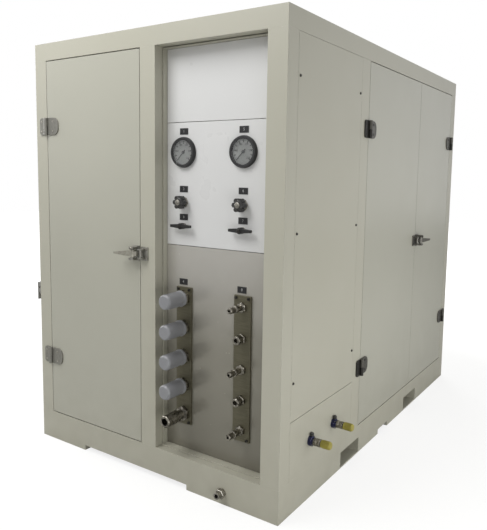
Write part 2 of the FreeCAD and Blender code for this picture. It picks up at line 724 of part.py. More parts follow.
def make_side_couplings():
    """Two couplings low on the right side, each with a yellow cap and a small stop knob on top."""
    body, cap = d.side_body_radius, d.side_cap_radius
    body_outline = ((0, -30), (12, -30), (12, 0), (20, 0), (20, 14), (body, 16), (body, 50), (9, 50), (9, 56),
                    (0, 56))
    cap_outline = ((9.3, 51), (cap, 51), (cap, 86), (cap - 3, 90), (0, 90), (0, 58), (9.3, 58))
    stem_radius = Size.of(3.5)
    bore = stem_radius + d.running_clearance
    knob_outline = ((bore, 20.5), (8, 20.5), (8, 31), (6, 33), (0, 33), (0, 26.5), (bore, 26.5))
    bodies = []
    for y, place_name in zip(side_coupling_stations(), ("front", "rear")):
        base = (RIGHT, y, d.side_coupling_level)
        stem = rod((RIGHT + 9, y, d.side_coupling_level), stem_radius, 26)
        bodies.append(fuse(turned(body_outline, base, TO_RIGHT), stem))
        keep(f"side_cap_{place_name}", turned(cap_outline, base, TO_RIGHT))
        keep(f"side_knob_{place_name}", turned(knob_outline, (RIGHT + 9, y, d.side_coupling_level)))
    keep("side_couplings", group(*bodies))


def make_drain():
    """Drain stub through the base's front wall."""
    tube, bore = d.drain_radius, d.drain_bore
    outline = ((bore, -30), (tube, -30), (tube, 0), (tube + 5, 0), (tube + 5, 6), (tube, 6), (tube, 36),
               (bore, 36))
    keep("drain_outlet", turned(outline, (d.drain_x, FRONT, d.drain_level), TO_FRONT))


def make_power_inlet():
    """Power inlet on the left side of the front post: flanged tube, pin carrier, and a hinged square lid."""
    y, level, reach, radius = FRONT + d.inlet_setback, d.inlet_level, d.inlet_reach, d.inlet_radius
    half, tall, lid = d.inlet_lid_width / 2, d.inlet_lid_height / 2, 6
    axis_x, axis_z, barrel = LEFT - reach + 6, level + 36, 4
    flange = box((LEFT - 6, y - half - 2, level - tall - 2), (LEFT, y + half + 2, level + tall + 2))
    base, bore = (LEFT, y, level), radius - 5
    tube = turned(((bore, 0), (radius, 0), (radius, reach), (bore, reach)), base, TO_LEFT)
    pins = turned(((0, 0), (12, 0), (12, 24), (0, 24)), base, TO_LEFT)
    ears = [box((axis_x - 4, start, level + 20), (LEFT - 5, start + 6, axis_z + 4))
            for start in (y - half, y + half - 6)]
    spindle = rod((axis_x, y - half, axis_z), barrel, half * 2, TO_REAR)
    keep("power_inlet", fuse(flange, tube, pins, *ears, spindle))
    face = LEFT - reach - 1
    plate = box((face - lid, y - half, level - tall), (face, y + half, level + tall))
    loop = box((face - 1, y - half + 7, axis_z - 5), (axis_x + 6, y + half - 7, axis_z + 6))
    hole = rod((axis_x, y - half + 6, axis_z), barrel + d.running_clearance, half * 2 - 12, TO_REAR)
    keep("inlet_lid", cut(fuse(plate, loop), hole))


# ---------------------------------------------------------------- equipment inside

def make_tank():
    """Welded oil tank on two bearers with a filler neck, and the filler cap that lifts off it."""
    left, front = d.tank_left, d.tank_front
    right, rear = left + d.tank_width, front + d.tank_length
    low = d.base_height + 20
    high, wall = low + d.tank_height, d.tank_wall
    neck_at = (left + 140, front + 120, high - 6)
    bearers = [box((x, front, d.base_height), (x + 60, rear, low + 1)) for x in (left + 60, right - 120)]
    shell = fuse(box((left, front, low), (right, rear, high)), rod(neck_at, d.filler_radius, 30), *bearers)
    hollow = box((left + wall, front + wall, low + wall), (right - wall, rear - wall, high - wall))
    keep("oil_tank", cut(shell, hollow, rod(neck_at, d.filler_radius - 3, 32)))
    lift = Size.of(30.5)
    cap = turned(((0, lift), (d.filler_radius + 3, lift), (d.filler_radius + 8, lift - 10),
                  (d.filler_radius + 12, lift - 10), (d.filler_radius + 12, lift + 14),
                  (d.filler_radius + 6, lift + 24), (0, lift + 24)), neck_at)
    keep("filler_cap", cap)
    filter_base = (left + 460, front + 620, high)
    filter_outline = ((0, 0), (72, 0), (72, 12), (56, 12), (56, 130), (60, 132), (60, 150), (48, 158),
                      (0, 158))
    boss = rod((filter_base[0], filter_base[1], high + 90), 26, 66, TO_RIGHT)
    keep("return_filter", fuse(turned(filter_outline, filter_base), boss))


def make_drive():
    """Electric motor, hydraulic pump with its bell housing, and the shaft coupling between them."""
    x, y, level = d.motor_x, d.motor_front, d.shaft_level
    radius, length = d.motor_radius, d.motor_length
    shaft_bore = Size.of(24) + d.running_clearance
    case = turned(((0, 70), (shaft_bore, 70), (shaft_bore, 0), (radius - 20, 0), (radius - 20, 30),
                   (radius, 30), (radius, length - 120), (radius + 6, length - 115),
                   (radius + 6, length - 20), (radius - 30, length), (0, length)), (x, y, level), TO_REAR)
    feet = [box((x + shift, y + start, d.base_height), (x + shift + 70, y + start + 60, level - 80))
            for shift in (-150, 80) for start in (60, 360)]
    terminal = box((x - 90, y + 120, level + radius - 20), (x + 90, y + 300, level + radius + 80))
    keep("electric_motor", fuse(case, terminal, *feet))
    bell, pump_radius, shaft = 150, 85, Size.of(12)
    spigot, bore = radius - 20, shaft + d.running_clearance
    front = y - bell
    pump_outline = ((0, -160), (pump_radius, -160), (pump_radius, 0), (spigot, bell - 15), (spigot, bell),
                    (62, bell), (62, 8), (bore, 8), (bore, -30), (0, -30))
    keep("hydraulic_pump", turned(pump_outline, (x, front, level), TO_REAR))
    drive_outline = ((0, -28), (shaft, -28), (shaft, 14), (46, 14), (46, 62), (40, 64), (40, 74), (46, 76),
                     (46, 136), (24, 138), (24, 216), (0, 216))
    keep("drive_coupling", turned(drive_outline, (x, front, level), TO_REAR))


def make_cooler():
    """Oil cooler with its shroud and legs behind the rear outlet, and the fan that turns in it."""
    size, x, low, front = d.cooler_size, d.cooler_x, d.cooler_bottom, d.cooler_front
    centre = low + size / 2
    core = box((x - size / 2, front, low), (x + size / 2, front + 70, low + size))
    shroud = cut(rod((x, front + 69, centre), d.fan_radius + 22, 95, TO_REAR),
                 rod((x, front + 68, centre), d.fan_radius + 12, 98, TO_REAR))
    legs = [box((x + shift, front + 10, d.base_height), (x + shift + 40, front + 50, low + 1))
            for shift in (-200, 160)]
    stub = rod((x, front + 69, centre), 10, 60, TO_REAR)
    keep("oil_cooler", fuse(core, shroud, stub, *legs))
    hub_start = front + 90
    blades = [tilted_blade(index) for index in range(5)]
    hub = turned(((10.05, 0), (48, 0), (48, 36), (40, 40), (10.05, 40)))
    keep("cooler_fan", place(group(fuse(hub, *blades)), (x, hub_start, centre), TO_REAR))


def tilted_blade(index):
    """One fan blade, pitched about its own length and turned to its place round the hub."""
    blade = box((40, -42, -2), (d.fan_radius, 42, 2))
    pitch = Rotation(Vector(1, 0, 0), 22)
    around = Rotation(Vector(0, 0, 1), 72 * index)
    holder = doc.addObject("Part::Compound", "pitched_blade")
    holder.Links = [blade]
    holder.Placement = Placement(Vector(0, 0, 20), around.multiply(pitch))
    return holder


def make_controls():
    """Electrical control box behind the front door, on two uprights."""
    left, front, low = -540, -880, 760
    right, back, top = left + 420, front + 230, low + 720
    case = cut(box((left, front, low), (right, back, top)),
               box((left + 2, front + 2, low + 2), (right - 2, back - 2, top - 2)),
               rod((left + 210, front + 90, low - 1), 45, 10))
    stands = [box((left + shift, front + 180, d.base_height), (left + shift + 40, front + 220, low + 1))
              for shift in (20, 360)]
    keep("control_box", fuse(case, *stands))


def make_pipework():
    """Suction, pressure and return pipes between tank, pump, coupling bars and filter."""
    bar_back = PANEL_FACE + 3
    tank_side = d.tank_left + d.tank_width
    x, pump_front = d.motor_x, d.motor_front - 150
    pressure_x, return_x = d.right_column + d.bar_shift, d.left_column + d.bar_shift
    filter_x, filter_y = d.tank_left + 460, d.tank_front + 620
    filter_level = d.base_height + 20 + d.tank_height + 90
    suction = pipe(((tank_side, pump_front - 80, d.shaft_level), (x - 85, pump_front - 80, d.shaft_level)),
                   25, 60)
    pressure = pipe(((x, pump_front - 160, d.shaft_level), (x, -700, d.shaft_level), (pressure_x, -700, 520),
                     (pressure_x, bar_back, 520)), 14, 45)
    beside_tank = tank_side - 20
    back = pipe(((return_x, bar_back, 520), (return_x, -800, 520), (beside_tank, -800, 640),
                 (beside_tank, -800, filter_level), (beside_tank, filter_y, filter_level),
                 (filter_x + 66, filter_y, filter_level)), 18, 50)
    keep("pipework", group(suction, pressure, back))


for make in (make_base_frame, make_upright_frame, make_roof, make_recess, make_labels, make_fixed_panels,
             make_doors, make_hinges, make_latches, make_gauges, make_valves, make_couplings,
             make_side_couplings, make_drain, make_power_inlet, make_tank, make_drive, make_cooler,
             make_controls, make_pipework):
    make()

doc.recompute()

for item in doc.Objects:
    if "Invalid" in item.State or "Error" in item.State:
        raise RuntimeError(f"{item.Name} ({item.Label}) did not recompute: {item.State}")

os.makedirs("parts", exist_ok=True)
for name, item in nodes.items():
    shape = item.Shape
    if shape.isNull() or not shape.isValid():
        raise RuntimeError(f"{name} has no valid shape")
    shape.exportStep(os.path.join("parts", f"{name}.step"))
    print(f"{name}: {len(shape.Solids)} solids, {shape.Volume / 1000:.1f} cm3")
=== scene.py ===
"""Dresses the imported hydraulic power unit: finishes, small fittings, studio and camera."""

import json
import logging
import math
from collections.abc import Iterable, Sequence
from dataclasses import dataclass
from enum import Enum

import bmesh
import bpy
from mathutils import Matrix, Vector


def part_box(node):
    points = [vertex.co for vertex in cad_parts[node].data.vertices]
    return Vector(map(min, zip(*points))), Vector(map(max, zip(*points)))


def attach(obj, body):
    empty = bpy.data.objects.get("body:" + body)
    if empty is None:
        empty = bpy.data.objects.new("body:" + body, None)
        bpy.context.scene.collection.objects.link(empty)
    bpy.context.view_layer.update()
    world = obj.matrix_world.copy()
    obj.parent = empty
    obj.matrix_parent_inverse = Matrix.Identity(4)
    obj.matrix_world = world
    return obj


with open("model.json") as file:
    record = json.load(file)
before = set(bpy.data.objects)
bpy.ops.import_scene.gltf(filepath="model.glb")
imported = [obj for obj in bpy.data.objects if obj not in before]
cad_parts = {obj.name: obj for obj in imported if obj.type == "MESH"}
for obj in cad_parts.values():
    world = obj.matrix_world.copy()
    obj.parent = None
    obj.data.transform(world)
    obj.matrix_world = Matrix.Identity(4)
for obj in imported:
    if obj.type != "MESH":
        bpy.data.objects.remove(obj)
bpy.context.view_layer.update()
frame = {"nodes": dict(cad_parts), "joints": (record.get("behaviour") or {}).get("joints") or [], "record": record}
MM = 0.001
TOUCH = 1e-6  # points nearer than this are one point
ROUND = 35.0  # edges flatter than this angle in degrees look round
CORNERED = 20.0  # the same for nuts, which keep their corners
REPEATED = 30.0  # the same for screws, bars and wires
LOG = logging.getLogger("power_unit")

Point = tuple[float, float, float]


class Facing(Enum):
    """The sides that a fitting can look out of: its own X, then its own Y, in the cabinet's axes."""

    FRONT = ((1, 0, 0), (0, 0, 1))
    REAR = ((-1, 0, 0), (0, 0, 1))
    LEFT = ((0, -1, 0), (0, 0, 1))
    RIGHT = ((0, 1, 0), (0, 0, 1))
    UP = ((1, 0, 0), (0, 1, 0))

    def turn(self) -> Matrix:
        """The turn from a fitting's own axes, with +Z outwards, to the cabinet's axes."""
        across, up = (Vector(v) for v in self.value)
        return Matrix((across, up, across.cross(up))).transposed()


Seat = tuple[Point, Facing]


def millimetres(*points: tuple[float, float]) -> list[tuple[float, float]]:
    """An outline in metres, from points given in millimetres."""
    return [(first * MM, second * MM) for first, second in points]


# ---------------------------------------------------------------- node helpers

def linear(colour: str) -> tuple[float, float, float, float]:
    """Turns an sRGB hex colour into linear RGBA.

    Args:
        colour: six hex digits after a hash sign.

    Returns:
        Linear red, green, blue and an alpha of 1.
    """
    channels = [int(colour[i:i + 2], 16) / 255 for i in (1, 3, 5)]
    # The numbers are those of the sRGB standard's own curve.
    red, green, blue = (c / 12.92 if c <= 0.04045 else ((c + 0.055) / 1.055) ** 2.4 for c in channels)
    return (red, green, blue, 1.0)


def add_node(tree: bpy.types.NodeTree, kind: str, inputs: dict | None = None,
             **settings: object) -> bpy.types.Node:
    """Adds one node with its settings and links.

    Args:
        tree: the node tree to add to.
        kind: the node's type name.
        inputs: a value, or another node's output to link from, for each input by name or number.
        **settings: the node's own properties.

    Returns:
        The new node.
    """
    node = tree.nodes.new(kind)
    for name, value in settings.items():
        setattr(node, name, value)
    for name, value in (inputs or {}).items():
        if isinstance(value, bpy.types.NodeSocket):
            tree.links.new(value, node.inputs[name])
        else:
            node.inputs[name].default_value = value
    return node


def new_material(name: str) -> bpy.types.NodeTree:
    """Starts an empty material.

    Args:
        name: the material's name.

    Returns:
        Its empty node tree.
    """
    material = bpy.data.materials.new(name)
    material.use_nodes = True
    material.node_tree.nodes.clear()
    return material.node_tree


def close_material(tree: bpy.types.NodeTree, shader: bpy.types.Node) -> bpy.types.Material:
    """Links the shader to the output and gives the material that owns the tree."""
    add_node(tree, "ShaderNodeOutputMaterial", {"Surface": shader.outputs[0]})
    return next(m for m in bpy.data.materials if m.node_tree == tree)


@dataclass(frozen=True)
class Grain:
    """One layer of procedural noise: the real size of its features, and how it is spread."""

    size: float
    detail: float = 2.0
    low: float = 0.35
    high: float = 0.65
    stretch: Point = (1.0, 1.0, 1.0)

    def field(self, tree: bpy.types.NodeTree) -> bpy.types.NodeSocket:
        """Adds the layer to a tree.

        Args:
            tree: the material's tree.

        Returns:
            The layer's 0 to 1 output.
        """
        place = add_node(tree, "ShaderNodeTexCoord")
        scaled = add_node(tree, "ShaderNodeMapping",
                          {"Vector": place.outputs["Object"], "Scale": self.stretch})
        noise = add_node(tree, "ShaderNodeTexNoise",
                         {"Vector": scaled.outputs[0], "Scale": 1 / self.size, "Detail": self.detail})
        spread = add_node(tree, "ShaderNodeMapRange",
                          {"Value": noise.outputs[0], "From Min": self.low, "From Max": self.high})
        return spread.outputs[0]


def blend_colours(tree: bpy.types.NodeTree, field: bpy.types.NodeSocket, first: object,
                  second: object) -> bpy.types.NodeSocket:
    """Mixes two colours by a field.

    Args:
        tree: the material's tree.
        field: 0 gives the first colour, 1 the second.
        first: a linear colour or a colour socket.
        second: a linear colour or a colour socket.

    Returns:
        The mixed colour socket.
    """
    mix = add_node(tree, "ShaderNodeMix", {0: field, 6: first, 7: second}, data_type="RGBA")
    return mix.outputs[2]


# The cosine between the rounded and the true normal where an edge's wear begins, and where it is full.
WEAR_BEGINS = 0.985
WEAR_FULL = 0.86


def edge_field(tree: bpy.types.NodeTree, radius: float,
               grain: Grain) -> tuple[bpy.types.NodeSocket, bpy.types.NodeSocket]:
    """Finds the outer edges of a piece, broken up by a grain.

    Args:
        tree: the material's tree.
        radius: how far from an edge the wear reaches, in metres.
        grain: the noise that breaks the wear up.

    Returns:
        The wear field and the normal with its edges rounded.
    """
    soft = add_node(tree, "ShaderNodeBevel", {"Radius": radius}, samples=4)
    sharp = add_node(tree, "ShaderNodeNewGeometry")
    facing = add_node(tree, "ShaderNodeVectorMath", {0: soft.outputs[0], 1: sharp.outputs["Normal"]},
                      operation="DOT_PRODUCT")
    edge = add_node(tree, "ShaderNodeMapRange",
                    {"Value": facing.outputs["Value"], "From Min": WEAR_BEGINS, "From Max": WEAR_FULL})
    worn = add_node(tree, "ShaderNodeMath", {0: edge.outputs[0], 1: grain.field(tree)}, operation="MULTIPLY")
    return worn.outputs[0], soft.outputs[0]


# ---------------------------------------------------------------- finishes

@dataclass(frozen=True)
class PowderCoat:
    """Polyester powder coat on folded sheet steel: satin, with a faint orange peel and soft hollows."""

    name: str
    colour: str
    shade: str
    worn: str
    roughness: float = 0.38
    hollow: float = 0.22
    dust: float = 0.18
    peel: float = 0.05
    dust_colour: str = "#8d8775"
    dust_top: float = 0.55
    dust_grain: Grain = Grain(90 * MM, 4, 0.3, 0.7)
    wear_reach: float = 1.6 * MM
    wear_grain: Grain = Grain(14 * MM, 3, 0.45, 0.62)
    cloud_grain: Grain = Grain(420 * MM, 3, 0.2, 0.8)
    hollow_grain: Grain = Grain(260 * MM, 1, 0, 1)
    hollow_depth: float = 2.2 * MM
    peel_grain: Grain = Grain(4 * MM, 1, 0, 1)  # the real peel is 1.5 mm across, coarsened so that it shows
    peel_depth: float = 0.1 * MM
    sheen_grain: Grain = Grain(140 * MM, 3, 0.2, 0.8)
    sheen_spread: tuple[float, float] = (-0.03, 0.04)
    ior: float = 1.5

    def material(self) -> bpy.types.Material:
        """Builds the material.

        Returns:
            The finished material.
        """
        tree = new_material(self.name)
        wear, soft = edge_field(tree, self.wear_reach, self.wear_grain)
        tone = blend_colours(tree, self.cloud_grain.field(tree), linear(self.colour), linear(self.shade))
        tone = blend_colours(tree, self.low_dust(tree), tone, linear(self.dust_colour))
        tone = blend_colours(tree, wear, tone, linear(self.worn))
        waves = add_node(tree, "ShaderNodeBump",
                         {"Height": self.hollow_grain.field(tree), "Normal": soft, "Strength": self.hollow,
                          "Distance": self.hollow_depth})
        peel = add_node(tree, "ShaderNodeBump",
                        {"Height": self.peel_grain.field(tree), "Normal": waves.outputs[0],
                         "Strength": self.peel, "Distance": self.peel_depth})
        gloss = add_node(tree, "ShaderNodeMapRange",
                         {"Value": self.sheen_grain.field(tree),
                          "To Min": self.roughness + self.sheen_spread[0],
                          "To Max": self.roughness + self.sheen_spread[1]})
        shader = add_node(tree, "ShaderNodeBsdfPrincipled",
                          {"Base Color": tone, "Roughness": gloss.outputs[0], "Normal": peel.outputs[0],
                           "IOR": self.ior})
        return close_material(tree, shader)

    def low_dust(self, tree: bpy.types.NodeTree) -> bpy.types.NodeSocket:
        """Lays dust that is thickest near the floor and fades out a third of the way up.

        Args:
            tree: the material's tree.

        Returns:
            The dust's 0 to 1 output.
        """
        place = add_node(tree, "ShaderNodeTexCoord")
        level = add_node(tree, "ShaderNodeSeparateXYZ", {0: place.outputs["Object"]})
        fall = add_node(tree, "ShaderNodeMapRange",
                        {"Value": level.outputs["Z"], "From Min": self.dust_top, "From Max": 0.0,
                         "To Max": self.dust})
        patchy = add_node(tree, "ShaderNodeMath", {0: fall.outputs[0], 1: self.dust_grain.field(tree)},
                          operation="MULTIPLY")
        return patchy.outputs[0]


@dataclass(frozen=True)
class OiledPlate:
    """Satin zinc-grey sheet with painted shade: it darkens more and more towards its foot, where less light
    reaches into the recess.
    """

    name: str
    dry: str
    damp: str
    soaked: str
    foot: float
    head: float
    ragged_grain: Grain = Grain(130 * MM, 4, 0.2, 0.8)
    ragged_rise: float = 60 * MM
    hollow_grain: Grain = Grain(180 * MM, 1, 0, 1)
    hollow: float = 0.2
    hollow_depth: float = 1.5 * MM
    sheen_grain: Grain = Grain(25 * MM, 4, 0.2, 0.8)
    glossiest: float = 0.2
    dullest: float = 0.28
    metallic: float = 0.3
    ior: float = 1.5

    def material(self) -> bpy.types.Material:
        """Builds the material.

        Returns:
            The finished material.
        """
        tree = new_material(self.name)
        place = add_node(tree, "ShaderNodeTexCoord")
        level = add_node(tree, "ShaderNodeSeparateXYZ", {0: place.outputs["Object"]})
        # Painted shade: the tone darkens from the head down to the foot, along a ragged line.
        ragged = add_node(tree, "ShaderNodeMath", {0: self.ragged_grain.field(tree), 1: self.ragged_rise,
                                                   2: level.outputs["Z"]}, operation="MULTIPLY_ADD")
        middle = (self.foot + self.head) / 2
        upper = add_node(tree, "ShaderNodeMapRange",
                         {"Value": ragged.outputs[0], "From Min": self.head, "From Max": middle},
                         interpolation_type="SMOOTHSTEP")
        lower = add_node(tree, "ShaderNodeMapRange",
                         {"Value": ragged.outputs[0], "From Min": middle, "From Max": self.foot})
        tone = blend_colours(tree, upper.outputs[0], linear(self.dry), linear(self.damp))
        tone = blend_colours(tree, lower.outputs[0], tone, linear(self.soaked))
        waves = add_node(tree, "ShaderNodeBump",
                         {"Height": self.hollow_grain.field(tree), "Strength": self.hollow,
                          "Distance": self.hollow_depth})
        gloss = add_node(tree, "ShaderNodeMapRange",
                         {"Value": self.sheen_grain.field(tree), "To Min": self.glossiest,
                          "To Max": self.dullest})
        shader = add_node(tree, "ShaderNodeBsdfPrincipled",
                          {"Base Color": tone, "Roughness": gloss.outputs[0], "Normal": waves.outputs[0],
                           "IOR": self.ior, "Metallic": self.metallic})
        return close_material(tree, shader)


@dataclass(frozen=True)
class Metal:
    """Bare or plated metal: mottled, unevenly glossy and lighter where rubbed; a painted shade may darken it on
    the cabinet's right side.
    """

    name: str
    colour: str
    shade: str
    roughness: float
    grain: Grain
    worn: str = "#d6d3cc"
    metallic: float = 1.0
    relief: float = 0.15
    flank: str = ""
    flank_from: float = 0.6
    wear_reach: float = 0.8 * MM
    wear_grain: Grain = Grain(5 * MM, 3, 0.4, 0.6)
    relief_depth: float = 0.2 * MM
    sheen_grain: Grain = Grain(18 * MM, 3)
    sheen_spread: tuple[float, float] = (-0.07, 0.1)

    def material(self) -> bpy.types.Material:
        """Builds the material.

        Returns:
            The finished material.
        """
        tree = new_material(self.name)
        wear, soft = edge_field(tree, self.wear_reach, self.wear_grain)
        pattern = self.grain.field(tree)
        tone = blend_colours(tree, pattern, linear(self.colour), linear(self.shade))
        tone = blend_colours(tree, wear, tone, linear(self.worn))
        # Painted shade: past a given X, on the cabinet's right side, the tone turns darker.
        if self.flank:
            place = add_node(tree, "ShaderNodeTexCoord")
            across = add_node(tree, "ShaderNodeSeparateXYZ", {0: place.outputs["Object"]})
            right = add_node(tree, "ShaderNodeMath", {0: across.outputs["X"], 1: self.flank_from},
                             operation="GREATER_THAN")
            tone = blend_colours(tree, right.outputs[0], tone, linear(self.flank))
        bump = add_node(tree, "ShaderNodeBump", {"Height": pattern, "Normal": soft, "Strength": self.relief,
                                                 "Distance": self.relief_depth})
        gloss = add_node(tree, "ShaderNodeMapRange",
                         {"Value": self.sheen_grain.field(tree),
                          "To Min": self.roughness + self.sheen_spread[0],
                          "To Max": self.roughness + self.sheen_spread[1]})
        shader = add_node(tree, "ShaderNodeBsdfPrincipled",
                          {"Base Color": tone, "Metallic": self.metallic, "Roughness": gloss.outputs[0],
                           "Normal": bump.outputs[0]})
        return close_material(tree, shader)


@dataclass(frozen=True)
class Moulding:
    """Moulded plastic, rubber, foam, enamel or ink: a fine skin, a little sheen, and paler rubbed edges."""

    name: str
    colour: str
    shade: str
    roughness: float
    skin: Grain
    relief: float = 0.2
    worn: str = "#77777a"
    wear_reach: float = 0.7 * MM
    wear_grain: Grain = Grain(6 * MM, 2, 0.5, 0.66)
    tone_grain: Grain = Grain(35 * MM, 3)
    relief_depth: float = 0.3 * MM
    sheen_grain: Grain = Grain(12 * MM, 2)
    sheen_spread: tuple[float, float] = (-0.04, 0.08)
    ior: float = 1.49

    def material(self) -> bpy.types.Material:
        """Builds the material.

        Returns:
            The finished material.
        """
        tree = new_material(self.name)
        wear, soft = edge_field(tree, self.wear_reach, self.wear_grain)
        tone = blend_colours(tree, self.tone_grain.field(tree), linear(self.colour), linear(self.shade))
        tone = blend_colours(tree, wear, tone, linear(self.worn))
        bump = add_node(tree, "ShaderNodeBump", {"Height": self.skin.field(tree), "Normal": soft,
                                                 "Strength": self.relief, "Distance": self.relief_depth})
        gloss = add_node(tree, "ShaderNodeMapRange",
                         {"Value": self.sheen_grain.field(tree),
                          "To Min": self.roughness + self.sheen_spread[0],
                          "To Max": self.roughness + self.sheen_spread[1]})
        shader = add_node(tree, "ShaderNodeBsdfPrincipled",
                          {"Base Color": tone, "Roughness": gloss.outputs[0], "Normal": bump.outputs[0],
                           "IOR": self.ior})
        return close_material(tree, shader)


@dataclass(frozen=True)
class Clear:
    """Clear plastic or glass: light passes through, with a faint haze of scuffs in its gloss."""

    name: str
    colour: str
    transmission: float
    roughness: float
    haze: float
    ior: float
    relief: float = 0.1
    scuff_grain: Grain = Grain(9 * MM, 4)
    ripple_grain: Grain = Grain(24 * MM, 2, 0, 1)
    relief_depth: float = 0.3 * MM

    def material(self) -> bpy.types.Material:
        """Builds the material.

        Returns:
            The finished material.
        """
        tree = new_material(self.name)
        gloss = add_node(tree, "ShaderNodeMapRange",
                         {"Value": self.scuff_grain.field(tree), "To Min": self.roughness,
                          "To Max": self.roughness + self.haze})
        bump = add_node(tree, "ShaderNodeBump", {"Height": self.ripple_grain.field(tree),
                                                 "Strength": self.relief, "Distance": self.relief_depth})
        shader = add_node(tree, "ShaderNodeBsdfPrincipled",
                          {"Base Color": linear(self.colour), "Roughness": gloss.outputs[0], "IOR": self.ior,
                           "Transmission Weight": self.transmission, "Normal": bump.outputs[0]})
        return close_material(tree, shader)


FINE_SKIN = Grain(2.5 * MM, 2, 0.2, 0.8)  # moulded texture, real pitch 0.5 mm, coarsened so that it shows
BRUSHED = Grain(40 * MM, 6, 0.3, 0.7, (1.0, 1.0, 40.0))  # brush lines of about 1 mm, lying along X
CASTING = Grain(9 * MM, 3, 0.2, 0.8)  # the mottle of a zinc die casting

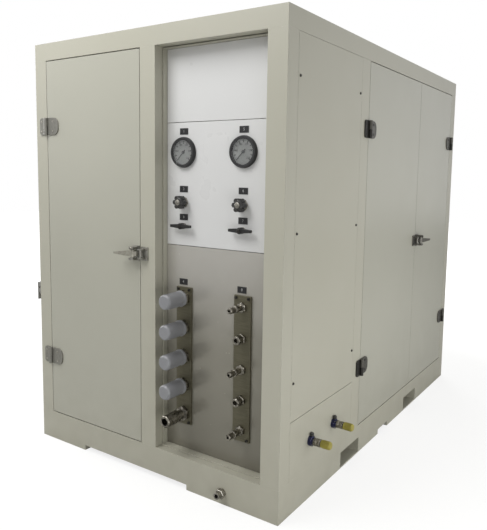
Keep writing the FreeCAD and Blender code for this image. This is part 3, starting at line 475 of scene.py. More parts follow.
# Each node of the frame, or own piece, takes one of these finishes by its slot in the record.
FINISHES: dict[str, PowderCoat | OiledPlate | Metal | Moulding | Clear] = {
    # Greige and satin: broad soft highlights that the folded sheet's hollows bend a little.
    "cabinet_paint": PowderCoat("cabinet powder coat", "#b8b6a8", "#b4b2a3", "#cfcdc1"),
    # The same coat on stiffer door skins: a shade glossier, and with calmer reflections.
    "door_paint": PowderCoat("door powder coat", "#b5b4a7", "#b1b0a3", "#cccabf", 0.3, 0.1),
    # Near-white and smooth, so it stays the brightest surface of the cabinet.
    "plate_white": PowderCoat("white enamelled plate", "#dddddc", "#d8d8d7", "#e6e6e4", 0.29, 0.1, 0.05,
                              0.01),
    # Flat black with hardly any shine, so that the white numbers stand out.
    "label_black": Moulding("engraved laminate black", "#121213", "#18181a", 0.5, FINE_SKIN, 0.1, "#2a2a2b"),
    # Nearly black and dull, with a brown tinge and greyer rubbed rims.
    "screw_black": Metal("blackened screw steel", "#2b2a28", "#3a3835", 0.42, Grain(3 * MM), "#6d6a64", 0.7),
    # Soft mottled grey in front; on the cabinet's right side its fixed halves take a near-black painted shade.
    "hinge_grey": Metal("zinc die-cast hinge", "#8c8b84", "#7e7c75", 0.42, CASTING, "#a3a19a", 0.6, 0.08,
                        "#2c2b28"),
    # Paler and glossier than the hinges, with broad tone changes; on the cabinet's right side a painted shade
    # darkens it.
    "latch_grey": Metal("zinc die-cast latch", "#a5a39c", "#7c7a73", 0.36, Grain(22 * MM), "#c4c2bb", 0.7,
                        0.08, "#6a6862"),
    # Dark satin that rounds off into a grey edge line.
    "gauge_black": Moulding("black gauge case", "#1a1a1b", "#222223", 0.4, FINE_SKIN, 0.1, "#38383a"),
    # Clear and sharp: only a thin reflection tells that it is there.
    "gauge_glass": Clear("gauge window glass", "#f4f6f5", 1.0, 0.02, 0.03, 1.5),
    # A crisp dark line against the dial.
    "pointer_black": Moulding("black enamelled pointer", "#18181a", "#202022", 0.4, FINE_SKIN),
    # Deep brown-black with a hard, small highlight and pale handled edges.
    "knob_dark": Moulding("dark phenolic knob", "#242423", "#32312f", 0.3, FINE_SKIN, 0.1, "#8a8882"),
    # Black with a wide, weak sheen along each wing.
    "lever_black": Moulding("black nylon lever", "#161616", "#1e1e1d", 0.42, FINE_SKIN, 0.1, "#333331"),
    # Bright warm grey with clear reflections round every turned step.
    "valve_steel": Metal("turned valve steel", "#a5a29a", "#7f7c74", 0.3, Grain(6 * MM)),
    # Dull olive-brown from old oil, with fine lines across the bar.
    "bar_steel": Metal("oiled coupling bar steel", "#696553", "#545141", 0.44, BRUSHED, "#857f70", 0.5),
    # Bright plating with dark oily patches and lighter corners.
    "coupling_steel": Metal("zinc-plated coupling steel", "#9b978d", "#55514a", 0.3, Grain(11 * MM),
                            "#c2bfb6"),
    # Milky and half see-through: the coupling under it is a soft shadow.
    "cap_clear": Clear("frosted polythene cap", "#a6a7ab", 0.35, 0.36, 0.06, 1.5, 0.02),
    # Dark blue that turns to lighter blue-grey at its edges.
    "side_coupling_blue": Metal("blue anodised body", "#34365a", "#23253c", 0.3, Grain(9 * MM),
                                "#7f80a0", 0.7),
    # Soft mustard yellow, waxy, and paler where it is gripped.
    "cap_yellow": Moulding("yellow polythene cap", "#a59b45", "#93893a", 0.4, FINE_SKIN, 0.2, "#c4bb72"),
    # Plain dark grey with a clean highlight.
    "knob_black": Moulding("black phenolic stop knob", "#242424", "#2e2e2e", 0.35, FINE_SKIN),
    # Middle grey, even and slightly soft.
    "inlet_grey": Moulding("grey polyamide inlet", "#8f8e8a", "#858480", 0.42, FINE_SKIN),
    # Flat green-grey that looks industrial and plain.
    "tank_paint": PowderCoat("tank enamel", "#8f9690", "#868d87", "#b4b8b2", 0.45),
    # Dull black that hides its ribs until light grazes them.
    "cap_breather": Moulding("black breather cap", "#2a2a2a", "#333333", 0.45, FINE_SKIN),
    # Dark slate blue with worn grey corners.
    "filter_paint": PowderCoat("filter enamel", "#3a4656", "#333e4d", "#7b8593", 0.35),
    # Middle blue, satin, and light along the tips of its fins.
    "motor_blue": PowderCoat("motor enamel", "#3f5f7d", "#38566f", "#8197aa", 0.4),
    # Dark and grainy: the rough casting breaks every highlight up.
    "pump_iron": Metal("cast pump iron", "#4d4b48", "#3c3a38", 0.55, Grain(4 * MM), "#7d7a75", 0.5, 0.6),
    # Plain machined grey with soft reflections.
    "coupling_hub": Metal("turned hub steel", "#8b8881", "#6c6962", 0.35, Grain(6 * MM)),
    # Cool light grey, a little frosty.
    "cooler_alu": Metal("cooler aluminium", "#a9abac", "#8d8f90", 0.42, Grain(8 * MM), "#c8cacb"),
    # Dull black, with greyer blade edges.
    "fan_black": Moulding("black fan nylon", "#262626", "#303030", 0.5, FINE_SKIN),
    # Light grey, flatter than the cabinet's own coat.
    "control_paint": PowderCoat("control box powder coat", "#c6c6be", "#bfbfb7", "#dcdcd6", 0.45),
    # Black and matt, with the slight unevenness of a wrapped hose.
    "pipe_black": Moulding("black hose rubber", "#1f1f1f", "#292928", 0.5, Grain(5 * MM, 2, 0.2, 0.8), 0.4),

    # The rest are finishes of small fittings that share a slot with the piece they sit on.
    # Bright dots with a yellow-grey cast.
    "screw_zinc": Metal("zinc-plated screw", "#b3b0a6", "#8d8a80", 0.32, Grain(4 * MM)),
    # Pale grey and even, so that the ticks read clearly.
    "dial_white": Moulding("grey-white enamelled dial", "#a2a2a0", "#979795", 0.4, Grain(30 * MM), 0.05,
                           "#a8a8a6"),
    # Flat black without a highlight: printing ink on dials and gauges, and painted shade in the motor cowl's slots
    # and the latch barrels' key slots.
    "ink_black": Moulding("black printing ink", "#161616", "#1e1e1e", 0.5, FINE_SKIN, 0.05, "#2a2a2a"),
    # Slightly greyed white, filled level with the plate.
    "ink_white": Moulding("white engraving fill", "#b9b9b7", "#adadab", 0.5, FINE_SKIN, 0.05, "#c6c6c3"),
    # Pale at its head, and darker and browner the nearer it comes to the floor: painted shade where less light
    # reaches the recess's foot.
    "plate_oiled": OiledPlate("zinc-grey coupling plate with an oil film", "#c0bdb6", "#8f8c81", "#7d7a6f",
                              0.13, 1.0),
    # Dark brown-grey with greyer rubbed knuckles: a painted shade on the side doors' zinc hinges.
    "hinge_dark": Metal("black chromated hinge", "#5a5852", "#4a4843", 0.42, CASTING, "#6e6c66", 0.6, 0.08),
    # Pale warm metal with one broad, soft highlight.
    "latch_pale": Metal("satin nickel lever", "#aaa79b", "#959287", 0.4, Grain(14 * MM), "#c4c1b7", 0.55,
                         0.05),
    # Dark and light-swallowing: pores instead of highlights.
    "foam_grey": Moulding("open-cell acoustic foam", "#3a3b3d", "#2f3032", 0.9, Grain(4 * MM, 4, 0.2, 0.8),
                          1.0, "#4b4c4e"),
    # Soft black with hardly any sheen.
    "rubber_black": Moulding("black door seal rubber", "#1c1c1c", "#242424", 0.6, FINE_SKIN, 0.2, "#343434"),
    # Warm amber depth behind a clean window.
    "oil_glass": Clear("level glass over amber oil", "#b98a35", 0.5, 0.12, 0.05, 1.49),
    # The three lenses are unlit: coloured, cloudy and smooth.
    "lamp_green": Clear("green lamp lens", "#3f9a58", 0.4, 0.2, 0.1, 1.49),
    "lamp_amber": Clear("amber lamp lens", "#c98a2c", 0.4, 0.2, 0.1, 1.49),
    "lamp_white": Clear("white lamp lens", "#d6d6d2", 0.4, 0.2, 0.1, 1.49),
}

# Nodes whose finish differs from their slot's own.
NODE_FINISHES = {
    "coupling_plate": "plate_oiled",
    "front_latch_handle": "latch_pale",
    # The side doors' moving hinge halves take a darker copy of the hinge finish: painted shade.
    "side_door_front_hinges": "hinge_dark",
    "side_door_rear_hinges": "hinge_dark",
}


class Coats:
    """The finishes as built materials, made once each."""

    def __init__(self) -> None:
        """Builds every finish."""
        self.made = {slot: finish.material() for slot, finish in FINISHES.items()}

    def __getitem__(self, slot: str) -> bpy.types.Material:
        """The material of a slot or of a small fitting's finish."""
        return self.made[slot]

    def dress_frame(self) -> None:
        """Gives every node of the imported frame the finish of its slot."""
        for name, node in frame["nodes"].items():
            coat = self[NODE_FINISHES.get(name, slot_of(name))]
            node.data.materials.clear()
            node.data.materials.append(coat)
            LOG.info("node %s: %s", name, coat.name)


def slot_of(node: str) -> str:
    """The material slot that the record names for a node."""
    return next(part["material_slot"] for part in frame["record"]["subparts"] if part["node"] == node)


# ---------------------------------------------------------------- shapes and pieces

INK_HALF = 0.15 * MM  # half the thickness of a raised character


class Shape:
    """A mesh in a fitting's own axes, with +Z outwards, before it is set on the cabinet."""

    def __init__(self) -> None:
        """Starts an empty mesh."""
        self.bm = bmesh.new()

    def lathe(self, outline: Sequence[tuple[float, float]], sides: int = 40) -> "Shape":
        """Turns an outline about Z.

        Args:
            outline: (radius, height) points in metres; a ring's outline ends where it starts.
            sides: how many facets go round; 6 makes a hexagon.

        Returns:
            The shape itself.
        """
        rings = []
        for radius, height in outline:
            angles = [2 * math.pi * i / sides for i in range(sides)] if radius > TOUCH else [0.0]
            rings.append([self.bm.verts.new((radius * math.cos(a), radius * math.sin(a), height))
                          for a in angles])
        for lower, upper in zip(rings, rings[1:]):
            for i in range(sides):
                corners = [lower[i % len(lower)], lower[(i + 1) % len(lower)],
                           upper[(i + 1) % len(upper)], upper[i % len(upper)]]
                corners = list(dict.fromkeys(corners))
                if len(corners) > 2:
                    self.bm.faces.new(corners)
        return self

    def block(self, low: Point, high: Point, round_off: float = 0.0) -> "Shape":
        """Adds a block between two corners.

        Args:
            low: the corner with the lowest values.
            high: the corner with the highest values.
            round_off: the radius of its edges.

        Returns:
            The shape itself.
        """
        made = bmesh.ops.create_cube(self.bm, size=1.0)["verts"]
        for vert in made:
            vert.co = Vector([a + (b - a) * (c + 0.5) for a, b, c in zip(low, high, vert.co)])
        if round_off:
            edges = list({edge for vert in made for edge in vert.link_edges})
            bmesh.ops.bevel(self.bm, geom=edges, offset=round_off, segments=2, profile=0.6, affect="EDGES")
        return self

    def text(self, words: str, height: float, middle: Point) -> "Shape":
        """Adds raised characters.

        Args:
            words: the characters.
            height: their size.
            middle: the point that they are centred on.

        Returns:
            The shape itself.
        """
        curve = bpy.data.curves.new("characters", "FONT")
        curve.body, curve.size, curve.extrude = words, height, INK_HALF
        curve.align_x, curve.align_y = "CENTER", "CENTER"
        holder = bpy.data.objects.new("characters", curve)
        bpy.context.collection.objects.link(holder)
        mesh = bpy.data.meshes.new_from_object(holder.evaluated_get(bpy.context.evaluated_depsgraph_get()))
        mesh.transform(Matrix.Translation(middle))
        self.bm.from_mesh(mesh)
        bpy.data.objects.remove(holder)
        bpy.data.meshes.remove(mesh)
        return self

    def tube(self, stops: Sequence[Point], radius: float, sides: int = 14) -> "Shape":
        """Adds a round bar along straight runs, closed at both ends.

        Args:
            stops: the points that the runs join.
            radius: the bar's radius.
            sides: how many facets go round.

        Returns:
            The shape itself.
        """
        path = [Vector(p) for p in stops]
        rings = []
        for i, at in enumerate(path):
            ahead = (path[min(i + 1, len(path) - 1)] - path[max(i - 1, 0)]).normalized()
            turn = ahead.to_track_quat("Z", "Y")
            angles = [2 * math.pi * k / sides for k in range(sides)]
            spokes = [Vector((radius * math.cos(a), radius * math.sin(a), 0)) for a in angles]
            rings.append([self.bm.verts.new(at + turn @ spoke) for spoke in spokes])
        for lower, upper in zip(rings, rings[1:]):
            for k in range(sides):
                after = (k + 1) % sides
                self.bm.faces.new((lower[k], lower[after], upper[after], upper[k]))
        self.bm.faces.new(list(reversed(rings[0])))
        self.bm.faces.new(rings[-1])
        return self

    def place(self, at: Point, facing: Facing = Facing.UP, spin: float = 0.0) -> "Shape":
        """Turns the shape about its own Z, then sets it on the cabinet.

        Args:
            at: the cabinet's point that the shape's origin comes to.
            facing: the way that its +Z looks.
            spin: the turn about its own Z, in degrees.

        Returns:
            The shape itself.
        """
        turn = facing.turn().to_4x4() @ Matrix.Rotation(math.radians(spin), 4, "Z")
        bmesh.ops.transform(self.bm, matrix=Matrix.Translation(at) @ turn, verts=self.bm.verts)
        return self


class Fitter:
    """Makes finished pieces: gives them their finish and body, and reports them."""

    def __init__(self, coats: Coats) -> None:
        """Takes the finishes, and starts without any tree built."""
        self.coats = coats
        self.trees: dict["Repeat", bpy.types.NodeTree] = {}

    def piece(self, name: str, body: str, slot: str, shapes: Iterable[Shape], smooth: float = ROUND,
              coat: str | None = None) -> bpy.types.Object:
        """Joins placed shapes into one piece.

        Args:
            name: the piece's name.
            body: the body that it moves with.
            slot: the record's slot that it belongs to.
            shapes: the placed shapes.
            smooth: edges flatter than this angle in degrees look round.
            coat: the finish, where it isn't the slot's own.

        Returns:
            The finished object.
        """
        whole = bmesh.new()
        for shape in shapes:
            bmesh.ops.remove_doubles(shape.bm, verts=shape.bm.verts, dist=TOUCH)
            bmesh.ops.recalc_face_normals(shape.bm, faces=shape.bm.faces)
            part = bpy.data.meshes.new("part")
            shape.bm.to_mesh(part)
            whole.from_mesh(part)
            bpy.data.meshes.remove(part)
            shape.bm.free()
        mesh = bpy.data.meshes.new(name)
        whole.to_mesh(mesh)
        whole.free()
        mesh.materials.append(self.coats[coat or slot])
        return self.hand_over(bpy.data.objects.new(name, mesh), body, smooth)

    def hand_over(self, item: bpy.types.Object, body: str, smooth: float) -> bpy.types.Object:
        """Shades a mesh object, puts it on its body, and reports it.

        Args:
            item: the mesh object.
            body: the body that it moves with.
            smooth: edges flatter than this angle in degrees look round.

        Returns:
            The same object.
        """
        if item.name not in bpy.context.collection.objects:
            bpy.context.collection.objects.link(item)
        item.data.shade_smooth()
        item.data.set_sharp_from_angle(angle=math.radians(smooth))
        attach(item, body)
        LOG.info("piece %s: %d faces on %s", item.name, len(item.data.polygons), body)
        return item

    def repeat(self, name: str, body: str, slot: str, kind: "Repeat", seats: Sequence[Seat],
               coat: str | None = None, **sizes: float | int | Point) -> bpy.types.Object:
        """Grows repeated parts at each seat with a Geometry Nodes tree, and keeps the plain mesh.

        Args:
            name: the piece's name.
            body: the body that it moves with.
            slot: the record's slot that it belongs to.
            kind: which tree grows it.
            seats: where each group of parts stands and which way it faces.
            coat: the finish, where it isn't the slot's own.
            **sizes: the tree's inputs, each named as the socket with spaces as underscores.

        Returns:
            The finished object.
        """
        if kind not in self.trees:
            self.trees[kind] = kind.build()
        tree = self.trees[kind]
        mesh = bpy.data.meshes.new(name)
        mesh.from_pydata([at for at, _ in seats], [], [])
        turns = mesh.attributes.new("turn", "FLOAT_VECTOR", "POINT")
        for entry, (_, facing) in zip(turns.data, seats):
            entry.vector = facing.turn().to_euler()
        item = bpy.data.objects.new(name, mesh)
        bpy.context.collection.objects.link(item)
        grower = item.modifiers.new("grow", "NODES")
        grower.node_group = tree
        sockets = {entry.name.replace(" ", "_").lower(): entry.identifier
                   for entry in tree.interface.items_tree if entry.in_out == "INPUT"}
        for label, value in {**sizes, "material": self.coats[coat or slot]}.items():
            grower[sockets[label]] = value
        graph = bpy.context.evaluated_depsgraph_get()
        grown = bpy.data.meshes.new_from_object(item.evaluated_get(graph), preserve_all_data_layers=True,
                                                depsgraph=graph)
        item.modifiers.clear()
        item.data = grown
        grown.name = name
        return self.hand_over(item, body, REPEATED)


# ---------------------------------------------------------------- Geometry Nodes trees

SOCKET_DEPTH = 0.6  # how deep a screw's recess is, as a share of its head's height
CIRCLE_SIDES = 48  # facets round a wire ring
WIRE_SIDES = 6  # facets round the wire itself


def open_tree(name: str, sockets: dict[str, str]) -> tuple[bpy.types.NodeTree, bpy.types.Node]:
    """Starts a Geometry Nodes tree with named size inputs and a material input.

    Args:
        name: the tree's name.
        sockets: the socket type of each input by its name.

    Returns:
        The tree and its input node.
    """
    tree = bpy.data.node_groups.new(name, "GeometryNodeTree")
    tree.interface.new_socket("Geometry", in_out="OUTPUT", socket_type="NodeSocketGeometry")
    tree.interface.new_socket("Seats", in_out="INPUT", socket_type="NodeSocketGeometry")
    for label, kind in sockets.items():
        tree.interface.new_socket(label, in_out="INPUT", socket_type=f"NodeSocket{kind}")
    tree.interface.new_socket("Material", in_out="INPUT", socket_type="NodeSocketMaterial")
    return tree, add_node(tree, "NodeGroupInput")


def close_tree(tree: bpy.types.NodeTree, entry: bpy.types.Node,
               part: bpy.types.NodeSocket) -> bpy.types.NodeTree:
    """Sets a part on every seat, turned as the seat says, and makes it real geometry with its material.

    Args:
        tree: the tree to end.
        entry: the tree's input node.
        part: the geometry that stands on one seat.

    Returns:
        The finished tree.
    """
    turn = add_node(tree, "GeometryNodeInputNamedAttribute", {"Name": "turn"}, data_type="FLOAT_VECTOR")
    rotation = add_node(tree, "FunctionNodeEulerToRotation", {0: turn.outputs[0]})
    seated = add_node(tree, "GeometryNodeInstanceOnPoints",
                      {"Points": entry.outputs["Seats"], "Instance": part, "Rotation": rotation.outputs[0]})
    real = add_node(tree, "GeometryNodeRealizeInstances", {"Geometry": seated.outputs[0]})
    coated = add_node(tree, "GeometryNodeSetMaterial",
                      {"Geometry": real.outputs[0], "Material": entry.outputs["Material"]})
    add_node(tree, "NodeGroupOutput", {"Geometry": coated.outputs[0]})
    return tree


def screw_tree() -> bpy.types.NodeTree:
    """Socket-head screws: a round head with a recess sunk in its top.

    Returns:
        The tree.
    """
    tree, entry = open_tree("socket screws", {"Head Radius": "Float", "Head Height": "Float",
                                              "Socket Share": "Float", "Sides": "Int"})
    head = add_node(tree, "GeometryNodeMeshCylinder", {"Vertices": entry.outputs["Sides"],
                                                       "Radius": entry.outputs["Head Radius"],
                                                       "Depth": entry.outputs["Head Height"]})
    half = add_node(tree, "ShaderNodeMath", {0: entry.outputs["Head Height"], 1: 0.5}, operation="MULTIPLY")
    rise = add_node(tree, "ShaderNodeCombineXYZ", {"Z": half.outputs[0]})
    stood = add_node(tree, "GeometryNodeTransform", {"Geometry": head.outputs["Mesh"],
                                                     "Translation": rise.outputs[0]})
    rim = add_node(tree, "GeometryNodeExtrudeMesh",
                   {"Mesh": stood.outputs[0], "Selection": head.outputs["Top"], "Offset Scale": 0.0,
                    "Individual": False})
    inset = add_node(tree, "GeometryNodeScaleElements",
                     {"Geometry": rim.outputs["Mesh"], "Selection": rim.outputs["Top"],
                      "Scale": entry.outputs["Socket Share"]})
    depth = add_node(tree, "ShaderNodeMath", {0: entry.outputs["Head Height"], 1: -SOCKET_DEPTH},
                     operation="MULTIPLY")
    sunk = add_node(tree, "GeometryNodeExtrudeMesh",
                    {"Mesh": inset.outputs[0], "Selection": rim.outputs["Top"],
                     "Offset Scale": depth.outputs[0], "Individual": False})
    return close_tree(tree, entry, sunk.outputs["Mesh"])


def ring_tree() -> bpy.types.NodeTree:
    """Bars round an axis: dial ticks, knurls, grip ribs, cooling fins, and black bars of painted shade for air
    slots.

    Returns:
        The tree.
    """
    tree, entry = open_tree("bars in a ring", {"Count": "Int", "Radius": "Float", "Start": "Float",
                                               "Step": "Float", "Bar": "Vector", "Height": "Float"})
    points = add_node(tree, "GeometryNodePoints", {"Count": entry.outputs["Count"]})
    index = add_node(tree, "GeometryNodeInputIndex")
    angle = add_node(tree, "ShaderNodeMath", {0: index.outputs[0], 1: entry.outputs["Step"],
                                              2: entry.outputs["Start"]}, operation="MULTIPLY_ADD")
    arm = add_node(tree, "ShaderNodeCombineXYZ", {"X": entry.outputs["Radius"], "Z": entry.outputs["Height"]})
    place = add_node(tree, "ShaderNodeVectorRotate", {"Vector": arm.outputs[0], "Angle": angle.outputs[0]},
                     rotation_type="Z_AXIS")
    spread = add_node(tree, "GeometryNodeSetPosition",
                      {"Geometry": points.outputs[0], "Position": place.outputs[0]})
    turn = add_node(tree, "ShaderNodeCombineXYZ", {"Z": angle.outputs[0]})
    rotation = add_node(tree, "FunctionNodeEulerToRotation", {0: turn.outputs[0]})
    bar = add_node(tree, "GeometryNodeMeshCube", {"Size": entry.outputs["Bar"]})
    ring = add_node(tree, "GeometryNodeInstanceOnPoints",
                    {"Points": spread.outputs[0], "Instance": bar.outputs[0],
                     "Rotation": rotation.outputs[0]})
    return close_tree(tree, entry, ring.outputs[0])


def row_tree() -> bpy.types.NodeTree:
    """Bars in a row, each tilted about its own X: louvre blades, cooler fins, foam ribs and level ticks.

    Returns:
        The tree.
    """
    tree, entry = open_tree("bars in a row", {"Count": "Int", "Step": "Vector", "Bar": "Vector",
                                              "Tilt": "Float"})
    line = add_node(tree, "GeometryNodeMeshLine",
                    {"Count": entry.outputs["Count"], "Offset": entry.outputs["Step"]})
    turn = add_node(tree, "ShaderNodeCombineXYZ", {"X": entry.outputs["Tilt"]})
    rotation = add_node(tree, "FunctionNodeEulerToRotation", {0: turn.outputs[0]})
    bar = add_node(tree, "GeometryNodeMeshCube", {"Size": entry.outputs["Bar"]})
    row = add_node(tree, "GeometryNodeInstanceOnPoints",
                   {"Points": line.outputs[0], "Instance": bar.outputs[0], "Rotation": rotation.outputs[0]})
    return close_tree(tree, entry, row.outputs[0])


def guard_tree() -> bpy.types.NodeTree:
    """A fan guard of round wires: circles of growing radius about one axis.

    Returns:
        The tree.
    """
    tree, entry = open_tree("wire rings", {"Count": "Int", "First": "Float", "Pitch": "Float",
                                           "Wire": "Float"})
    points = add_node(tree, "GeometryNodePoints", {"Count": entry.outputs["Count"]})
    index = add_node(tree, "GeometryNodeInputIndex")
    radius = add_node(tree, "ShaderNodeMath", {0: index.outputs[0], 1: entry.outputs["Pitch"],
                                               2: entry.outputs["First"]}, operation="MULTIPLY_ADD")
    circle = add_node(tree, "GeometryNodeCurvePrimitiveCircle", {"Resolution": CIRCLE_SIDES, "Radius": 1.0})
    rings = add_node(tree, "GeometryNodeInstanceOnPoints",
                     {"Points": points.outputs[0], "Instance": circle.outputs[0], "Scale": radius.outputs[0]})
    real = add_node(tree, "GeometryNodeRealizeInstances", {"Geometry": rings.outputs[0]})
    section = add_node(tree, "GeometryNodeCurvePrimitiveCircle",
                       {"Resolution": WIRE_SIDES, "Radius": entry.outputs["Wire"]})
    wires = add_node(tree, "GeometryNodeCurveToMesh", {"Curve": real.outputs[0],
                                                       "Profile Curve": section.outputs[0]})
    return close_tree(tree, entry, wires.outputs[0])


class Repeat(Enum):
    """The trees that grow repeated parts."""

    SCREWS = "socket screws"
    RING = "bars in a ring"
    ROW = "bars in a row"
    GUARD = "wire rings"

    def build(self) -> bpy.types.NodeTree:
        """Builds the tree of this kind."""
        return {"SCREWS": screw_tree, "RING": ring_tree, "ROW": row_tree, "GUARD": guard_tree}[self.name]()


# ---------------------------------------------------------------- places taken from the frame

def joint_at(name: str) -> Vector:
    """Where a joint of the frame turns or slides, in metres."""
    return Vector(next(joint["pos_m"] for joint in frame["joints"] if joint["name"] == name))


def spot(base: Sequence[float], facing: Facing, across: float = 0.0, up: float = 0.0,
         out: float = 0.0) -> Point:
    """A point at an offset from a base, along a facing's own axes."""
    return tuple(Vector(base) + facing.turn() @ Vector((across, up, out)))


def circle_of(base: Sequence[float], facing: Facing, radius: float, count: int, out: float = 0.0,
              start: float = 0.0) -> list[Seat]:
    """Seats round a bolt circle.

    Args:
        base: the circle's centre.
        facing: the way that it looks.
        radius: the circle's radius.
        count: how many seats.
        out: how far they stand out of the base.
        start: the first seat's angle in degrees.

    Returns:
        The seats, each with its facing.
    """
    angles = [math.radians(start + 360 * i / count) for i in range(count)]
    return [(spot(base, facing, radius * math.cos(a), radius * math.sin(a), out), facing) for a in angles]


class Door(Enum):
    """The doors: body, hinge joint, facing, the side of the hinge axis that it lies on, and screw finish."""

    FRONT = ("front_door", "front_door_hinge", Facing.FRONT, 1, "screw_zinc")
    SIDE_FRONT = ("side_door_front", "side_door_front_hinge", Facing.RIGHT, 1, "screw_black")
    SIDE_REAR = ("side_door_rear", "side_door_rear_hinge", Facing.RIGHT, -1, "screw_black")

    def __init__(self, body: str, hinge: str, facing: Facing, side: int, screw: str) -> None:
        """Names the door's values."""
        self.body, self.hinge, self.facing, self.side, self.screw = body, hinge, facing, side, screw


class Latch(Enum):
    """The latches: joint, the hub's body, the keeper's body, facing, the keeper's side, and screw finish."""

    FRONT = ("front_latch_turn", "front_door", "cabinet", Facing.FRONT, 1, "screw_zinc")
    SIDE = ("side_latch_turn", "side_door_rear", "side_door_front", Facing.RIGHT, -1, "screw_black")

    def __init__(self, joint: str, body: str, keeper: str, facing: Facing, side: int, screw: str) -> None:
        """Names the latch's values."""
        self.joint, self.body, self.keeper = joint, body, keeper
        self.facing, self.side, self.screw = facing, side, screw


# ---------------------------------------------------------------- doors

@dataclass
class DoorFittings:
    """Hinge and latch screws, latch key barrels, and the foam and rubber on the doors' inner sides."""

    fitter: Fitter
    leaf_half: float = 37 * MM
    leaf_face: float = -4 * MM
    screw_spread: float = 21 * MM
    moving_screws: float = 42 * MM
    fixed_screws: float = 31 * MM
    barrel_up: float = 20 * MM
    barrel_out: float = 9.5 * MM
    keeper_across: float = 58 * MM
    keeper_spread: float = 17 * MM
    keeper_face: float = -19 * MM
    skin: float = 3 * MM
    margin: float = 18 * MM
    foam: float = 10 * MM
    rib: float = 9 * MM
    rib_pitch: float = 30 * MM
    rib_tilt: float = 45.0
    seal_gap: float = 8 * MM
    seal_half: float = 4 * MM
    seal_foot: float = 12 * MM
    seal_top: float = 19 * MM
    rounding: float = 2 * MM

    def build(self) -> None:
        """Makes every door's and latch's fittings."""
        for door in Door:
            self.hinge_screws(door)
            self.line(door)
        for latch in Latch:
            self.dress_latch(latch)

    def hinge_screws(self, door: Door) -> None:
        """Puts screws in a door's moving leaves and in the leaves on the cabinet.

        Args:
            door: the door that the hinges carry.
        """
        axis = joint_at(door.hinge)
        low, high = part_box(f"{door.body}_hinges")
        moving, fixed = [], []
        for level in (low.z + self.leaf_half, high.z - self.leaf_half):
            middle = (axis.x, axis.y, level)
            for up in (-self.screw_spread, self.screw_spread):
                moving.append((spot(middle, door.facing, door.side * self.moving_screws, up, self.leaf_face),
                               door.facing))
                fixed.append((spot(middle, door.facing, -door.side * self.fixed_screws, up, self.leaf_face),
                              door.facing))
        for name, body, seats in (("moving", door.body, moving), ("fixed", "cabinet", fixed)):
            self.fitter.repeat(f"{door.body}_hinge_screws_{name}", body, "hinge_grey", Repeat.SCREWS, seats,
                               door.screw, head_radius=4.6 * MM, head_height=1.3 * MM, socket_share=0.52,
                               sides=14)

    def dress_latch(self, latch: Latch) -> None:
        """Puts the key barrel on a latch's hub, with a black bar of painted shade for its key slot, and screws in
        its keeper's plate.

        Args:
            latch: the latch to finish.
        """
        name, facing, pivot = latch.name.lower(), latch.facing, joint_at(latch.joint)
        hub = spot(pivot, facing, 0, self.barrel_up, self.barrel_out)
        barrel = Shape().lathe(millimetres((0, 0), (6.5, 0), (6.5, 2.5), (5.6, 3.4), (0, 3.4)), 24)
        # The barrel's key slot is a black bar on its face: painted shade, not an opening.
        key_slot_shade_bar = Shape().block((-0.7 * MM, -2.6 * MM, 3.3 * MM), (0.7 * MM, 2.6 * MM, 3.7 * MM))
        self.fitter.piece(f"{name}_latch_barrel", latch.body, "latch_grey", [barrel.place(hub, facing)],
                          coat=latch.screw)
        self.fitter.piece(f"{name}_latch_keyway", latch.body, "latch_grey", [key_slot_shade_bar.place(hub, facing)],
                          coat="ink_black")
        plate = [(spot(pivot, facing, latch.side * self.keeper_across, up, self.keeper_face), facing)
                 for up in (-self.keeper_spread, self.keeper_spread)]
        self.fitter.repeat(f"{name}_keeper_screws", latch.keeper, "latch_grey", Repeat.SCREWS, plate,
                           latch.screw, head_radius=3.8 * MM, head_height=1.2 * MM, socket_share=0.5,
                           sides=14)

    def line(self, door: Door) -> None:
        """Lines a door's inner side with ribbed foam inside a rubber seal.

        Args:
            door: the door to line.
        """
        low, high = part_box(door.body)
        middle = (low + high) / 2
        if door.facing is Facing.FRONT:
            back, width = Facing.REAR, high.x - low.x
            base = (middle.x, low.y + self.skin, middle.z)
        else:
            back, width = Facing.LEFT, high.y - low.y
            base = (high.x - self.skin, middle.y, middle.z)
        wide, tall = width / 2 - self.margin, (high.z - low.z) / 2 - self.margin
        pad = Shape().block((-wide, -tall, 0.2 * MM), (wide, tall, self.foam), self.rounding)
        self.fitter.piece(f"{door.body}_foam", door.body, "door_paint", [pad.place(base, back)],
                          coat="foam_grey")
        start = spot(base, back, 0, -tall + self.rib_pitch / 2, self.foam)
        self.fitter.repeat(f"{door.body}_foam_ribs", door.body, "door_paint", Repeat.ROW, [(start, back)],
                           "foam_grey", count=int(tall * 2 / self.rib_pitch), step=(0, self.rib_pitch, 0),
                           tilt=math.radians(self.rib_tilt), bar=(wide * 2 - 4 * MM, self.rib, self.rib))
        self.seal(door, base, back, wide + self.seal_gap, tall + self.seal_gap)

    def seal(self, door: Door, base: Point, back: Facing, wide: float, tall: float) -> None:
        """Frames a door's foam with four bars of rubber.

        Args:
            door: the door that carries the seal.
            base: the middle of the door's inner side.
            back: the way that the inner side looks.
            wide: half the distance between the middles of the upright bars.
            tall: half the distance between the middles of the level bars.
        """
        half = self.seal_half
        corners = [((-wide - half, level - half), (wide + half, level + half)) for level in (-tall, tall)]
        corners += [((across - half, half - tall), (across + half, tall - half)) for across in (-wide, wide)]
        bars = [Shape().block((*low, self.seal_foot), (*high, self.seal_top), self.rounding).place(base, back)
                for low, high in corners]
        self.fitter.piece(f"{door.body}_seal", door.body, "door_paint", bars, coat="rubber_black")


# ---------------------------------------------------------------- instruments and couplings

